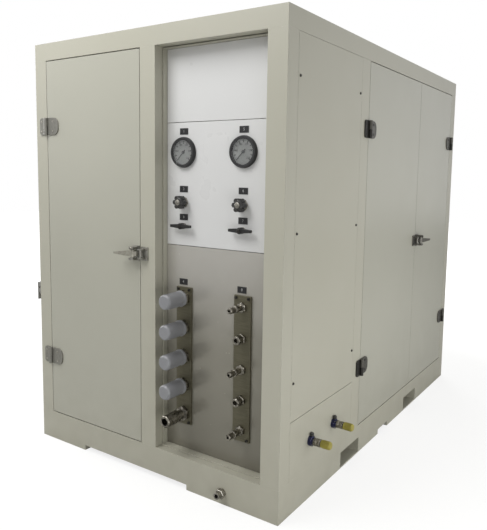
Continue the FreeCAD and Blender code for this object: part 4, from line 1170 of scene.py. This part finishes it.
@dataclass
class Instruments:
    """Dials with ticks and figures, the numbers of the label plates, knob caps and lever nuts."""

    fitter: Fitter
    dial_radius: float = 46.4 * MM
    dial_hole: float = 3.2 * MM
    dial_foot: float = 3.05 * MM
    dial_top: float = 3.4 * MM
    ink_level: float = 3.5 * MM
    tick_radius: float = 42 * MM
    minor_count: int = 51
    minor_bar: Point = (3.4 * MM, 1.5 * MM, 0.2 * MM)
    major_count: int = 11
    major_bar: Point = (10 * MM, 3.6 * MM, 0.3 * MM)
    figure_radius: float = 30.5 * MM
    figure_height: float = 10.5 * MM
    intervals: int = 5
    top_figure: int = 250
    zero: float = 225.0
    sweep: float = 270.0
    number_height: float = 14 * MM
    number_out: float = 1.55 * MM
    over_gauge: float = 80 * MM
    over_knob: float = 51 * MM
    over_lever: float = 35 * MM
    over_bars: float = 20 * MM

    def build(self) -> None:
        """Makes both columns of instruments and the numbers of their labels."""
        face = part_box("gauge_plate")[0].y
        bars_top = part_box("coupling_bars")[1].z
        numbers = []
        for column, side in enumerate(("left", "right")):
            gauge = joint_at(f"gauge_{side}_pointer")
            self.dial(side, (gauge.x, face, gauge.z))
            flow, lever = joint_at(f"flow_valve_{side}"), joint_at(f"ball_valve_{side}")
            self.knob_cap(side, (flow.x, face, flow.z))
            self.lever_nut(side, (lever.x, face, lever.z))
            levels = (gauge.z + self.over_gauge, flow.z + self.over_knob, lever.z + self.over_lever,
                      bars_top + self.over_bars)
            for number, level in enumerate(levels, column * len(levels) + 1):
                figure = Shape().text(str(number), self.number_height, (0, 0, 0))
                numbers.append(figure.place((gauge.x, face - self.number_out, level), Facing.FRONT))
        self.fitter.piece("label_numbers", "cabinet", "label_black", numbers, coat="ink_white")

    def dial(self, side: str, centre: Point) -> None:
        """Makes a dial's face, its minor and major ticks, and the figures round its scale.

        Args:
            side: left or right.
            centre: the dial's axis on the gauge plate.
        """
        edge, hole, foot, top = self.dial_radius, self.dial_hole, self.dial_foot, self.dial_top
        face = Shape().lathe([(hole, foot), (edge, foot), (edge, top), (hole, top), (hole, foot)], 64)
        self.fitter.piece(f"dial_{side}", "cabinet", "gauge_black", [face.place(centre, Facing.FRONT)],
                          coat="dial_white")
        for name, count, bar in (("minor", self.minor_count, self.minor_bar),
                                 ("major", self.major_count, self.major_bar)):
            self.fitter.repeat(f"dial_{side}_{name}_ticks", "cabinet", "gauge_black", Repeat.RING,
                               [(centre, Facing.FRONT)], "ink_black", count=count,
                               radius=self.tick_radius - (bar[0] - self.minor_bar[0]) / 2,
                               start=math.radians(self.zero), step=-math.radians(self.sweep / (count - 1)),
                               bar=bar, height=self.ink_level)
        figures = []
        for step in range(self.intervals + 1):
            angle = math.radians(self.zero - self.sweep * step / self.intervals)
            across, up = self.figure_radius * math.cos(angle), self.figure_radius * math.sin(angle)
            words = str(self.top_figure * step // self.intervals)
            figure = Shape().text(words, self.figure_height, (across, up, self.ink_level))
            figures.append(figure.place(centre, Facing.FRONT))
        self.fitter.piece(f"dial_{side}_figures", "cabinet", "gauge_black", figures, coat="ink_black")

    def knob_cap(self, side: str, centre: Point) -> None:
        """Makes a flow knob's bright pressed cap, its raised index mark, and the nut behind it.

        Args:
            side: left or right.
            centre: the knob's axis on the gauge plate.
        """
        body = f"flow_knob_{side}"
        cap = Shape().lathe(millimetres((0, 39.8), (11, 39.8), (11, 41), (9, 42), (0, 42.4)), 32)
        mark = Shape().block((-0.9 * MM, 12 * MM, 36 * MM), (0.9 * MM, 20 * MM, 36.8 * MM))
        nut = Shape().lathe(millimetres((16.4, 0.05), (22, 0.05), (22, 6), (16.4, 8), (16.4, 0.05)), 6)
        self.fitter.piece(f"{body}_cap", body, "valve_steel", [cap.place(centre, Facing.FRONT)])
        self.fitter.piece(f"{body}_mark", body, "knob_dark", [mark.place(centre, Facing.FRONT)],
                          coat="ink_white")
        self.fitter.piece(f"{body}_nut", "cabinet", "valve_steel", [nut.place(centre, Facing.FRONT)],
                          CORNERED)

    def lever_nut(self, side: str, centre: Point) -> None:
        """Makes the hexagon nut on a wing lever's hub.

        Args:
            side: left or right.
            centre: the lever's axis on the gauge plate.
        """
        body = f"valve_lever_{side}"
        nut = Shape().lathe(millimetres((0, 28.9), (7, 28.9), (7, 33), (5.4, 34), (0, 34)), 6)
        self.fitter.piece(f"{body}_nut", body, "valve_steel", [nut.place(centre, Facing.FRONT)], CORNERED,
                          "screw_black")


@dataclass
class HoseCouplings:
    """Nuts, knurls and ribs of the couplings on the bars, on the right side and at the drain."""

    fitter: Fitter
    bar_half: float = 37.5 * MM
    lowest: float = 44 * MM
    both_ends: float = 87 * MM
    count: int = 5
    bolt_inset: float = 9 * MM
    bolt_across: float = 28 * MM
    large_nut: tuple[float, float] = (31.2 * MM, 15.5 * MM)
    small_nut: tuple[float, float] = (19.8 * MM, 11.5 * MM)
    nut_foot: float = 0.1 * MM
    chamfer: float = 2 * MM
    chamfer_share: float = 0.87
    large_knurls: int = 36
    small_knurls: int = 28
    cap_ribs: int = 30
    side_cap_ribs: int = 22
    flange_circle: float = 16.6 * MM
    flange_face: float = 14 * MM

    def build(self) -> None:
        """Makes the details of every coupling."""
        low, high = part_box("coupling_bars")
        left, right = low.x + self.bar_half, high.x - self.bar_half
        pitch = (high.z - low.z - self.both_ends) / (self.count - 1)
        levels = [low.z + self.lowest + pitch * i for i in range(self.count)]
        self.nuts("large_coupling_nuts", [(left, low.y, level) for level in levels], *self.large_nut)
        self.nuts("small_coupling_nuts", [(right, low.y, level) for level in levels], *self.small_nut)
        self.knurls(left, right, low.y, levels)
        bolts = [(spot((x, low.y, z), Facing.FRONT, shift), Facing.FRONT) for x in (left, right)
                 for z in (low.z + self.bolt_inset, high.z - self.bolt_inset)
                 for shift in (-self.bolt_across, self.bolt_across)]
        self.fitter.repeat("bar_bolts", "cabinet", "bar_steel", Repeat.SCREWS, bolts, "screw_black",
                           head_radius=5.5 * MM, head_height=5 * MM, socket_share=0.55, sides=16)
        for i in range(1, self.count):
            self.cap_details(i, (left, low.y, levels[i]))
        self.side_couplings()
        self.drain()

    def nuts(self, name: str, bases: Sequence[Point], radius: float, height: float) -> None:
        """Makes chamfered hexagon nuts that sit against the bar.

        Args:
            name: the piece's name.
            bases: each nut's middle on the bar's face.
            radius: a nut's radius over its corners.
            height: how far it stands out.
        """
        side = [(0, self.nut_foot), (radius, self.nut_foot), (radius, height - self.chamfer),
                (radius * self.chamfer_share, height), (0, height)]
        shapes = [Shape().lathe(side, 6).place(base, Facing.FRONT, 30) for base in bases]
        self.fitter.piece(name, "cabinet", "coupling_steel", shapes, CORNERED)

    def knurls(self, left: float, right: float, face: float, levels: Sequence[float]) -> None:
        """Makes the knurled grips on the large couplings' sleeves and on every second small one.

        Args:
            left: the large couplings' place across.
            right: the small couplings' place across.
            face: the bars' front face.
            levels: the couplings' heights, lowest first.
        """
        large = [((left, face, level), Facing.FRONT) for level in levels]
        small = [((right, face, level), Facing.FRONT) for level in levels[1::2]]
        self.fitter.repeat("large_coupling_knurls", "cabinet", "coupling_steel", Repeat.RING, large,
                           count=self.large_knurls, radius=23.6 * MM, start=0.0,
                           step=math.radians(360 / self.large_knurls), bar=(1.1 * MM, 1.9 * MM, 26 * MM),
                           height=72 * MM)
        self.fitter.repeat("small_coupling_knurls", "cabinet", "coupling_steel", Repeat.RING, small,
                           count=self.small_knurls, radius=16.4 * MM, start=0.0,
                           step=math.radians(360 / self.small_knurls), bar=(1.2 * MM, 1.6 * MM, 16 * MM),
                           height=26 * MM)

    def cap_details(self, index: int, base: Point) -> None:
        """Makes a dust cap's grip ribs and the lip at its mouth.

        Args:
            index: the cap's number, counted upwards.
            base: the coupling's middle on the bar's face.
        """
        body = f"dust_cap_{index}"
        self.fitter.repeat(f"{body}_ribs", body, "cap_clear", Repeat.RING, [(base, Facing.FRONT)],
                           count=self.cap_ribs, radius=29.2 * MM, start=0.0,
                           step=math.radians(360 / self.cap_ribs), bar=(1.4 * MM, 2.2 * MM, 56 * MM),
                           height=76 * MM)
        mouth = millimetres((29, 20.2), (31.5, 20.2), (32, 24), (31, 28), (29, 29), (29, 20.2))
        lip = Shape().lathe(mouth, 48)
        self.fitter.piece(f"{body}_lip", body, "cap_clear", [lip.place(base, Facing.FRONT)])

    def side_couplings(self) -> None:
        """Makes the grooved sleeves, cap ribs and flange screws of the couplings on the right side."""
        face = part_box("right_lower_panel")[1].x
        grooved = millimetres((14, 20), (15.6, 20.5), (15.6, 30), (14.6, 31), (14.6, 35), (15.6, 36),
                              (15.6, 47), (14, 48), (14, 20))
        sleeves, screws = [], []
        for name in ("front", "rear"):
            low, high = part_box(f"side_cap_{name}")
            centre = (face, (low.y + high.y) / 2, (low.z + high.z) / 2)
            sleeves.append(Shape().lathe(grooved).place(centre, Facing.RIGHT))
            screws += circle_of(centre, Facing.RIGHT, self.flange_circle, 4, self.flange_face, 45)
            self.fitter.repeat(f"side_cap_{name}_ribs", f"side_cap_{name}", "cap_yellow", Repeat.RING,
                               [(centre, Facing.RIGHT)], count=self.side_cap_ribs, radius=15.1 * MM,
                               start=0.0, step=math.radians(360 / self.side_cap_ribs),
                               bar=(1.2 * MM, 1.8 * MM, 26 * MM), height=70 * MM)
        self.fitter.piece("side_coupling_sleeves", "cabinet", "side_coupling_blue", sleeves,
                          coat="coupling_steel")
        self.fitter.repeat("side_coupling_screws", "cabinet", "side_coupling_blue", Repeat.SCREWS, screws,
                           "screw_zinc", head_radius=2.2 * MM, head_height=1.6 * MM, socket_share=0.5,
                           sides=12)

    def drain(self) -> None:
        """Makes the hexagon nut round the drain, on the front of the base."""
        low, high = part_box("drain_outlet")
        centre = ((low.x + high.x) / 2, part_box("base_frame")[0].y, (low.z + high.z) / 2)
        ring = millimetres((13.2, 6), (19.5, 6), (19.5, 17), (17.5, 19), (13.2, 19), (13.2, 6))
        nut = Shape().lathe(ring, 6)
        self.fitter.piece("drain_nut", "cabinet", "valve_steel", [nut.place(centre, Facing.FRONT)], CORNERED)


# ---------------------------------------------------------------- ventilation

@dataclass
class Ventilation:
    """Louvre blades over the slots of the left and rear panels, and the wire guard of the air outlet."""

    fitter: Fitter
    length: float = 304 * MM
    depth: float = 15 * MM
    thickness: float = 1.4 * MM
    tilt: float = 38.0
    pitch: float = 30 * MM
    rows: int = 12
    brow: float = 11 * MM
    sunk: float = 0.5 * MM
    left_banks: tuple[float, float] = (-10 * MM, 390 * MM)
    left_levels: tuple[float, float] = (620 * MM, 1020 * MM)
    rear_banks: tuple[float, float] = (-270 * MM, 70 * MM)
    rear_level: float = 420 * MM
    rings: int = 9
    first_ring: float = 32 * MM
    ring_pitch: float = 22 * MM
    ring_wire: float = 1.8 * MM
    ring_out: float = 9 * MM
    stay_wire: float = 2.2 * MM
    stays: int = 4
    screw_circle: float = 224 * MM

    def build(self) -> None:
        """Makes both panels' blades and the guard."""
        left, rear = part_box("left_panel"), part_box("rear_panel")
        self.blades("left_louvres", [((left[0].x, middle, level), Facing.LEFT)
                                     for middle in self.left_banks for level in self.left_levels])
        self.blades("rear_louvres", [((middle, rear[1].y, self.rear_level), Facing.REAR)
                                     for middle in self.rear_banks])
        self.guard(rear[1].y)

    def blades(self, name: str, banks: Sequence[Seat]) -> None:
        """Makes sloping blades, one over each slot of a bank.

        Args:
            name: the piece's name.
            banks: the middle of each bank's lowest slot.
        """
        angle = math.radians(self.tilt)
        out, drop = self.depth / 2 * math.cos(angle), self.depth / 2 * math.sin(angle)
        seats = [(spot(at, facing, 0, self.brow - drop, out - self.sunk), facing) for at, facing in banks]
        self.fitter.repeat(name, "cabinet", "cabinet_paint", Repeat.ROW, seats, count=self.rows,
                           step=(0, self.pitch, 0), bar=(self.length, self.thickness, self.depth), tilt=angle)

    def guard(self, face: float) -> None:
        """Makes the round wire guard on its stays over the air outlet, in line with the fan's shaft.

        Args:
            face: the rear panel's outer face.
        """
        shaft = joint_at("fan_shaft")
        centre = (shaft.x, face, shaft.z)
        at = spot(centre, Facing.REAR, 0, 0, self.ring_out)
        self.fitter.repeat("outlet_guard_rings", "cabinet", "fan_black", Repeat.GUARD, [(at, Facing.REAR)],
                           count=self.rings, first=self.first_ring, pitch=self.ring_pitch,
                           wire=self.ring_wire)
        stays = []
        for turn in range(self.stays):
            angle = math.radians(45 + 360 / self.stays * turn)
            ends = [(radius * math.cos(angle), radius * math.sin(angle), out)
                    for radius, out in millimetres((20, 6.5), (205, 6.5), (222, 2))]
            stays.append(Shape().tube(ends, self.stay_wire, 10).place(centre, Facing.REAR))
        self.fitter.piece("outlet_guard_stays", "cabinet", "fan_black", stays)
        self.fitter.repeat("outlet_guard_screws", "cabinet", "fan_black", Repeat.SCREWS,
                           circle_of(centre, Facing.REAR, self.screw_circle, self.stays, 0.0, 45),
                           "screw_black", head_radius=7 * MM, head_height=3 * MM, socket_share=0.5, sides=16)


# ---------------------------------------------------------------- machines behind the doors

@dataclass
class Motor:
    """Cooling fins, the cowl's air slots drawn as black bars of painted shade, and the terminal box's lid of the
    electric motor.
    """

    fitter: Fitter
    fins: int = 17
    fin: Point = (16 * MM, 3 * MM, 390 * MM)
    fin_radius: float = 181 * MM
    fin_middle: float = 232 * MM
    fin_step: float = 6.0
    # The cowl's air slots are black bars on its face: painted shade, not openings.
    slots: int = 24
    slot: Point = (80 * MM, 7 * MM, 0.8 * MM)
    slot_radius: float = 95 * MM
    slot_out: float = 0.3 * MM
    lid_half: float = 94 * MM
    lid_height: float = 9 * MM
    lid_back: float = 210 * MM
    lid_screws: float = 80 * MM

    def build(self) -> None:
        """Makes the fins, the black bars of painted shade for the slots, and the lid."""
        low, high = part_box("electric_motor")
        axis = joint_at("pump_shaft")
        centre = (axis.x, low.y, axis.z)
        for name, start in (("right", -48), ("left", 132)):
            self.fitter.repeat(f"motor_fins_{name}", "cabinet", "motor_blue", Repeat.RING,
                               [(centre, Facing.REAR)], count=self.fins, radius=self.fin_radius,
                               start=math.radians(start), step=math.radians(self.fin_step), bar=self.fin,
                               height=self.fin_middle)
        # Black bars of painted shade stand for the cowl's air slots.
        self.fitter.repeat("motor_cowl_slots", "cabinet", "motor_blue", Repeat.RING,
                           [((axis.x, high.y, axis.z), Facing.REAR)], "ink_black", count=self.slots,
                           radius=self.slot_radius, start=0.0, step=math.radians(360 / self.slots),
                           bar=self.slot, height=self.slot_out)
        self.lid((axis.x, low.y + self.lid_back, high.z))

    def lid(self, top: Point) -> None:
        """Makes the terminal box's lid and its four screws.

        Args:
            top: the middle of the terminal box's top.
        """
        half, rise, reach = self.lid_half, self.lid_height, self.lid_screws
        plate = Shape().block((-half, -half, 0), (half, half, rise), 3 * MM)
        self.fitter.piece("terminal_lid", "cabinet", "motor_blue", [plate.place(top)])
        corners = [((top[0] + x, top[1] + y, top[2] + rise), Facing.UP)
                   for x in (-reach, reach) for y in (-reach, reach)]
        self.fitter.repeat("terminal_screws", "cabinet", "motor_blue", Repeat.SCREWS, corners, "screw_zinc",
                           head_radius=6 * MM, head_height=4 * MM, socket_share=0.5, sides=14)


@dataclass
class Pump:
    """Bell housing bolts, the pump's port block, and its end cover with bolts."""

    fitter: Fitter
    bell_inset: float = 15 * MM
    bell_circle: float = 145 * MM
    bell_bolts: int = 8
    cover_circle: float = 66 * MM
    cover_bolts: int = 6

    def build(self) -> None:
        """Makes the bolts, the port block and the cover."""
        low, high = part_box("hydraulic_pump")
        axis = joint_at("pump_shaft")
        bell = (axis.x, high.y - self.bell_inset, axis.z)
        end = (axis.x, low.y, axis.z)
        self.fitter.repeat("bell_bolts", "cabinet", "pump_iron", Repeat.SCREWS,
                           circle_of(bell, Facing.FRONT, self.bell_circle, self.bell_bolts, 1 * MM, 22.5),
                           "screw_zinc", head_radius=9 * MM, head_height=10 * MM, socket_share=0.5, sides=6)
        self.fitter.repeat("pump_cover_bolts", "cabinet", "pump_iron", Repeat.SCREWS,
                           circle_of(end, Facing.FRONT, self.cover_circle, self.cover_bolts), "screw_zinc",
                           head_radius=8 * MM, head_height=9 * MM, socket_share=0.5, sides=16)
        cover = Shape().lathe(millimetres((0, 0), (48, 0), (48, 8), (42, 12), (0, 12)))
        block = Shape().block((-45 * MM, 60 * MM, -110 * MM), (45 * MM, 112 * MM, -30 * MM), 4 * MM)
        self.fitter.piece("pump_cover", "cabinet", "pump_iron",
                          [cover.place(end, Facing.FRONT), block.place(end, Facing.FRONT)])


@dataclass
class Tank:
    """The oil tank's bolted cover, level gauge and filler cap ribs, and the return filter's bolts."""

    fitter: Fitter
    cap_seat: float = 14.5 * MM
    cover_at: tuple[float, float] = (250 * MM, 320 * MM)
    cover_half: tuple[float, float] = (170 * MM, 130 * MM)
    cover_height: float = 8 * MM
    bolt_pitch: float = 75 * MM
    bolt_row: float = 112 * MM
    gauge_at: tuple[float, float] = (560 * MM, 330 * MM)
    gauge_ticks: int = 11
    gauge_pitch: float = 12 * MM
    cap_ribs: int = 36
    cap_radius: float = 43.6 * MM
    filter_radius: float = 72 * MM
    filter_down: float = 8 * MM
    filter_circle: float = 53 * MM
    filter_bolts: int = 6

    def build(self) -> None:
        """Makes the details of the tank, its filler cap and the return filter."""
        low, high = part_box("oil_tank")
        cap_low, cap_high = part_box("filler_cap")
        self.cover((low.x + self.cover_at[0], low.y + self.cover_at[1], cap_low.z - self.cap_seat))
        self.level_gauge((high.x, low.y + self.gauge_at[0], low.z + self.gauge_at[1]))
        neck = ((cap_low.x + cap_high.x) / 2, (cap_low.y + cap_high.y) / 2, cap_high.z)
        self.fitter.repeat("filler_cap_ribs", "filler_cap", "cap_breather", Repeat.RING, [(neck, Facing.UP)],
                           count=self.cap_ribs, radius=self.cap_radius, start=0.0,
                           step=math.radians(360 / self.cap_ribs), bar=(1.6 * MM, 3 * MM, 18 * MM),
                           height=-22 * MM)
        filter_low, filter_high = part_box("return_filter")
        lid = (filter_low.x + self.filter_radius, (filter_low.y + filter_high.y) / 2,
               filter_high.z - self.filter_down)
        self.fitter.repeat("filter_bolts", "cabinet", "filter_paint", Repeat.SCREWS,
                           circle_of(lid, Facing.UP, self.filter_circle, self.filter_bolts), "screw_zinc",
                           head_radius=5 * MM, head_height=9 * MM, socket_share=0.5, sides=16)

    def cover(self, middle: Point) -> None:
        """Makes the cover plate on the tank's top and its two rows of bolts.

        Args:
            middle: the middle of the plate's lower side.
        """
        wide, deep = self.cover_half
        plate = Shape().block((-wide, -deep, 0), (wide, deep, self.cover_height), 2 * MM)
        self.fitter.piece("tank_cover", "cabinet", "tank_paint", [plate.place(middle)])
        rim = [((middle[0] + step * self.bolt_pitch, middle[1] + y, middle[2] + self.cover_height), Facing.UP)
               for step in range(-2, 3) for y in (-self.bolt_row, self.bolt_row)]
        self.fitter.repeat("tank_cover_bolts", "cabinet", "tank_paint", Repeat.SCREWS, rim, "screw_zinc",
                           head_radius=7 * MM, head_height=6 * MM, socket_share=0.5, sides=6)

    def level_gauge(self, at: Point) -> None:
        """Makes the oil level gauge on the tank's side: its body, window and ticks.

        Args:
            at: the gauge's middle on the tank's side.
        """
        body = Shape().block((-18 * MM, -90 * MM, 0), (18 * MM, 90 * MM, 14 * MM), 3 * MM)
        window = Shape().block((-8 * MM, -66 * MM, 14 * MM), (8 * MM, 66 * MM, 19 * MM), 2 * MM)
        self.fitter.piece("level_gauge_body", "cabinet", "tank_paint", [body.place(at, Facing.RIGHT)],
                          coat="valve_steel")
        self.fitter.piece("level_gauge_window", "cabinet", "gauge_glass", [window.place(at, Facing.RIGHT)],
                          coat="oil_glass")
        self.fitter.repeat("level_gauge_ticks", "cabinet", "tank_paint", Repeat.ROW,
                           [(spot(at, Facing.RIGHT, 12 * MM, -60 * MM, 14 * MM), Facing.RIGHT)], "ink_black",
                           count=self.gauge_ticks, step=(0, self.gauge_pitch, 0),
                           bar=(5 * MM, 1 * MM, 0.6 * MM), tilt=0.0)


@dataclass
class Cooler:
    """Fins on the oil cooler's core, and its end tanks."""

    fitter: Fitter
    fins: int = 54
    fin: Point = (400 * MM, 1.6 * MM, 7 * MM)
    fin_pitch: float = 8.6 * MM
    fin_tilt: float = 14.0
    core_foot: float = 762 * MM
    tank_across: float = 222 * MM
    tank_half: float = 16 * MM
    tank_foot: float = 752 * MM
    tank_head: float = 1228 * MM
    tank_out: float = 12 * MM

    def build(self) -> None:
        """Makes the fins and the end tanks."""
        low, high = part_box("oil_cooler")
        foot = ((low.x + high.x) / 2, low.y, low.z)
        start = (foot[0], foot[1], foot[2] + self.core_foot)
        self.fitter.repeat("cooler_fins", "cabinet", "cooler_alu", Repeat.ROW, [(start, Facing.FRONT)],
                           count=self.fins, step=(0, self.fin_pitch, 0), bar=self.fin,
                           tilt=math.radians(self.fin_tilt))
        ends = []
        for across in (-self.tank_across, self.tank_across):
            tank = Shape().block((across - self.tank_half, self.tank_foot, 0),
                                 (across + self.tank_half, self.tank_head, self.tank_out), 4 * MM)
            ends.append(tank.place(foot, Facing.FRONT))
        self.fitter.piece("cooler_end_tanks", "cabinet", "cooler_alu", ends)


class Lens(Enum):
    """The control box's lamps: place across, and finish."""

    RUN = (-60 * MM, "lamp_green")
    FAULT = (0.0, "lamp_amber")
    POWER = (60 * MM, "lamp_white")


@dataclass
class ControlBox:
    """Cover, locks, lamps and cable glands of the control box."""

    fitter: Fitter
    middle_down: float = 360 * MM
    cover_half: tuple[float, float] = (204 * MM, 352 * MM)
    cover_height: float = 3 * MM
    lock_across: float = 182 * MM
    lock_up: float = 250 * MM
    lens_up: float = 260 * MM
    gland_pitch: float = 60 * MM
    gland_back: float = 120 * MM

    def build(self) -> None:
        """Makes the cover, the locks, the lamps and the glands."""
        low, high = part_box("control_box")
        centre = ((low.x + high.x) / 2, low.y, high.z - self.middle_down)
        wide, tall = self.cover_half
        cover = Shape().block((-wide, -tall, 0), (wide, tall, self.cover_height), 1 * MM)
        self.fitter.piece("control_cover", "cabinet", "control_paint", [cover.place(centre, Facing.FRONT)])
        lock = millimetres((0, 3), (11, 3), (11, 7), (9, 9), (0, 9))
        locks = [Shape().lathe(lock, 28).place(spot(centre, Facing.FRONT, self.lock_across, up), Facing.FRONT)
                 for up in (-self.lock_up, self.lock_up)]
        self.fitter.piece("control_locks", "cabinet", "control_paint", locks, coat="screw_zinc")
        for lens in Lens:
            across, coat = lens.value
            dome = Shape().lathe(millimetres((0, 3), (11, 3), (11, 9), (8, 13), (0, 14)), 28)
            at = spot(centre, Facing.FRONT, across, self.lens_up)
            self.fitter.piece(f"lamp_{lens.name.lower()}", "cabinet", "control_paint",
                              [dome.place(at, Facing.FRONT)], coat=coat)
        gland = millimetres((0, 0), (13, 0), (13, 12), (9, 20), (0, 20))
        glands = [Shape().lathe(gland, 6)
                  .place((centre[0] + step * self.gland_pitch, low.y + self.gland_back, high.z))
                  for step in range(-2, 3)]
        self.fitter.piece("control_glands", "cabinet", "control_paint", glands, coat="rubber_black")


# ---------------------------------------------------------------- studio and camera

@dataclass(frozen=True)
class Lamp:
    """A square soft lamp: its name, where it hangs, the point it shines at, its side in metres, its watts."""

    name: str
    at: Point
    aim: Point
    size: float
    power: float

    def hang(self) -> None:
        """Makes the lamp, which lights and is reflected but isn't seen itself."""
        lamp = bpy.data.lights.new(self.name, "AREA")
        lamp.size = self.size
        lamp.energy = self.power
        holder = bpy.data.objects.new(self.name, lamp)
        holder.location = self.at
        holder.rotation_euler = (Vector(self.aim) - Vector(self.at)).to_track_quat("-Z", "Y").to_euler()
        holder.visible_camera = False
        bpy.context.collection.objects.link(holder)


LAMPS = (
    Lamp("key", (-0.6, -2.4, 3.2), (-0.3, -1.0, 1.6), 1.5, 52.0),
    Lamp("low side", (2.3, -0.2, 0.25), (0.65, 0.2, 0.35), 1.6, 20.0),
    Lamp("low corner", (1.9, -2.0, 0.3), (0.6, -0.9, 0.3), 1.0, 8.0),
    Lamp("left", (-4.6, -0.6, 2.4), (-0.65, 0.0, 0.9), 2.6, 120.0),
    Lamp("rear", (-2.2, 4.8, 2.4), (-0.1, 1.0, 0.9), 2.2, 120.0),
    Lamp("top", (0.0, 0.2, 5.2), (0.0, 0.0, 1.0), 3.6, 40.0),
)


@dataclass
class Studio:
    """Pale floor, soft lamps and a white surround, in metres."""

    floor_half: float = 14.0
    floor_colour: str = "#c9c9c6"
    floor_glow: float = 1.3
    shade_to: float = 1.6
    white_from: float = 3.4
    near_share: float = 0.62
    soft_light: float = 0.38
    seen_light: float = 1.0

    def build(self) -> None:
        """Makes the floor, the world and the lamps."""
        self.make_floor()
        self.make_world()
        for lamp in LAMPS:
            lamp.hang()

    def make_floor(self) -> None:
        """A plain pale floor that keeps the shadow near the cabinet and runs out to white."""
        tree = new_material("matt white studio floor")
        path = add_node(tree, "ShaderNodeLightPath")
        matt = add_node(tree, "ShaderNodeBsdfDiffuse", {"Color": linear(self.floor_colour)})
        glow = add_node(tree, "ShaderNodeEmission", {"Strength": self.floor_glow})
        place = add_node(tree, "ShaderNodeTexCoord")
        reach = add_node(tree, "ShaderNodeVectorMath", {0: place.outputs["Object"]}, operation="LENGTH")
        fade = add_node(tree, "ShaderNodeMapRange",
                        {"Value": reach.outputs["Value"], "From Min": self.shade_to,
                         "From Max": self.white_from, "To Min": self.near_share, "To Max": 1.0})
        share = add_node(tree, "ShaderNodeMath", {0: path.outputs["Is Camera Ray"], 1: fade.outputs[0]},
                         operation="MULTIPLY")
        mixed = add_node(tree, "ShaderNodeMixShader",
                         {0: share.outputs[0], 1: matt.outputs[0], 2: glow.outputs[0]})
        mesh = bpy.data.meshes.new("floor")
        half = self.floor_half
        corners = [(-half, -half, 0), (half, -half, 0), (half, half, 0), (-half, half, 0)]
        mesh.from_pydata(corners, [], [(0, 1, 2, 3)])
        mesh.materials.append(close_material(tree, mixed))
        floor = bpy.data.objects.new("floor", mesh)
        bpy.context.collection.objects.link(floor)

    def make_world(self) -> None:
        """White where the camera or a reflection looks, and a plain soft light elsewhere."""
        world = bpy.data.worlds.new("studio")
        bpy.context.scene.world = world
        world.use_nodes = True
        tree = world.node_tree
        tree.nodes.clear()
        path = add_node(tree, "ShaderNodeLightPath")
        seen = add_node(tree, "ShaderNodeMath",
                        {0: path.outputs["Is Camera Ray"], 1: path.outputs["Is Glossy Ray"]},
                        operation="MAXIMUM")
        seen = add_node(tree, "ShaderNodeMath", {0: seen.outputs[0], 1: path.outputs["Is Transmission Ray"]},
                        operation="MAXIMUM")
        soft = add_node(tree, "ShaderNodeBackground", {"Color": (1, 1, 1, 1), "Strength": self.soft_light})
        white = add_node(tree, "ShaderNodeBackground", {"Color": (1, 1, 1, 1), "Strength": self.seen_light})
        mixed = add_node(tree, "ShaderNodeMixShader",
                         {0: seen.outputs[0], 1: soft.outputs[0], 2: white.outputs[0]})
        add_node(tree, "ShaderNodeOutputWorld", {"Surface": mixed.outputs[0]})


@dataclass
class Viewpoint:
    """The camera: where it stands in metres, how it is turned in degrees, and its lens in millimetres."""

    at: Point = (1.6591, -2.7270, 1.2444)
    azimuth: float = 34.009
    down: float = 6.367
    roll: float = 0.8433
    lens: float = 40.45
    shift: tuple[float, float] = (-0.0041, -0.0457)
    far: float = 200.0

    def build(self) -> None:
        """Makes the camera and gives it to the scene."""
        azimuth, down, roll = (math.radians(v) for v in (self.azimuth, self.down, self.roll))
        level = math.cos(down)
        ahead = Vector((-math.sin(azimuth) * level, math.cos(azimuth) * level, -math.sin(down)))
        right = Vector((math.cos(azimuth), math.sin(azimuth), 0))
        up = right.cross(ahead)
        across = math.cos(roll) * right + math.sin(roll) * up
        upright = -math.sin(roll) * right + math.cos(roll) * up
        turn = Matrix((across, upright, -ahead)).transposed()
        camera = bpy.data.cameras.new("camera")
        camera.lens = self.lens
        camera.shift_x, camera.shift_y = self.shift
        camera.clip_end = self.far
        holder = bpy.data.objects.new("camera", camera)
        holder.matrix_world = Matrix.Translation(self.at) @ turn.to_4x4()
        bpy.context.collection.objects.link(holder)
        bpy.context.scene.camera = holder
        bpy.context.scene.view_settings.view_transform = "Standard"


SUB_ASSEMBLIES = (DoorFittings, Instruments, HoseCouplings, Ventilation, Motor, Pump, Tank, Cooler,
                  ControlBox)


def main() -> None:
    """Builds the camera, the studio, the finishes and every sub-assembly's fittings, in order."""
    logging.basicConfig(level=logging.INFO, format="%(message)s")
    Viewpoint().build()
    Studio().build()
    coats = Coats()
    coats.dress_frame()
    fitter = Fitter(coats)
    for sub_assembly in SUB_ASSEMBLIES:
        sub_assembly(fitter).build()


if __name__ == "__main__":
    main()
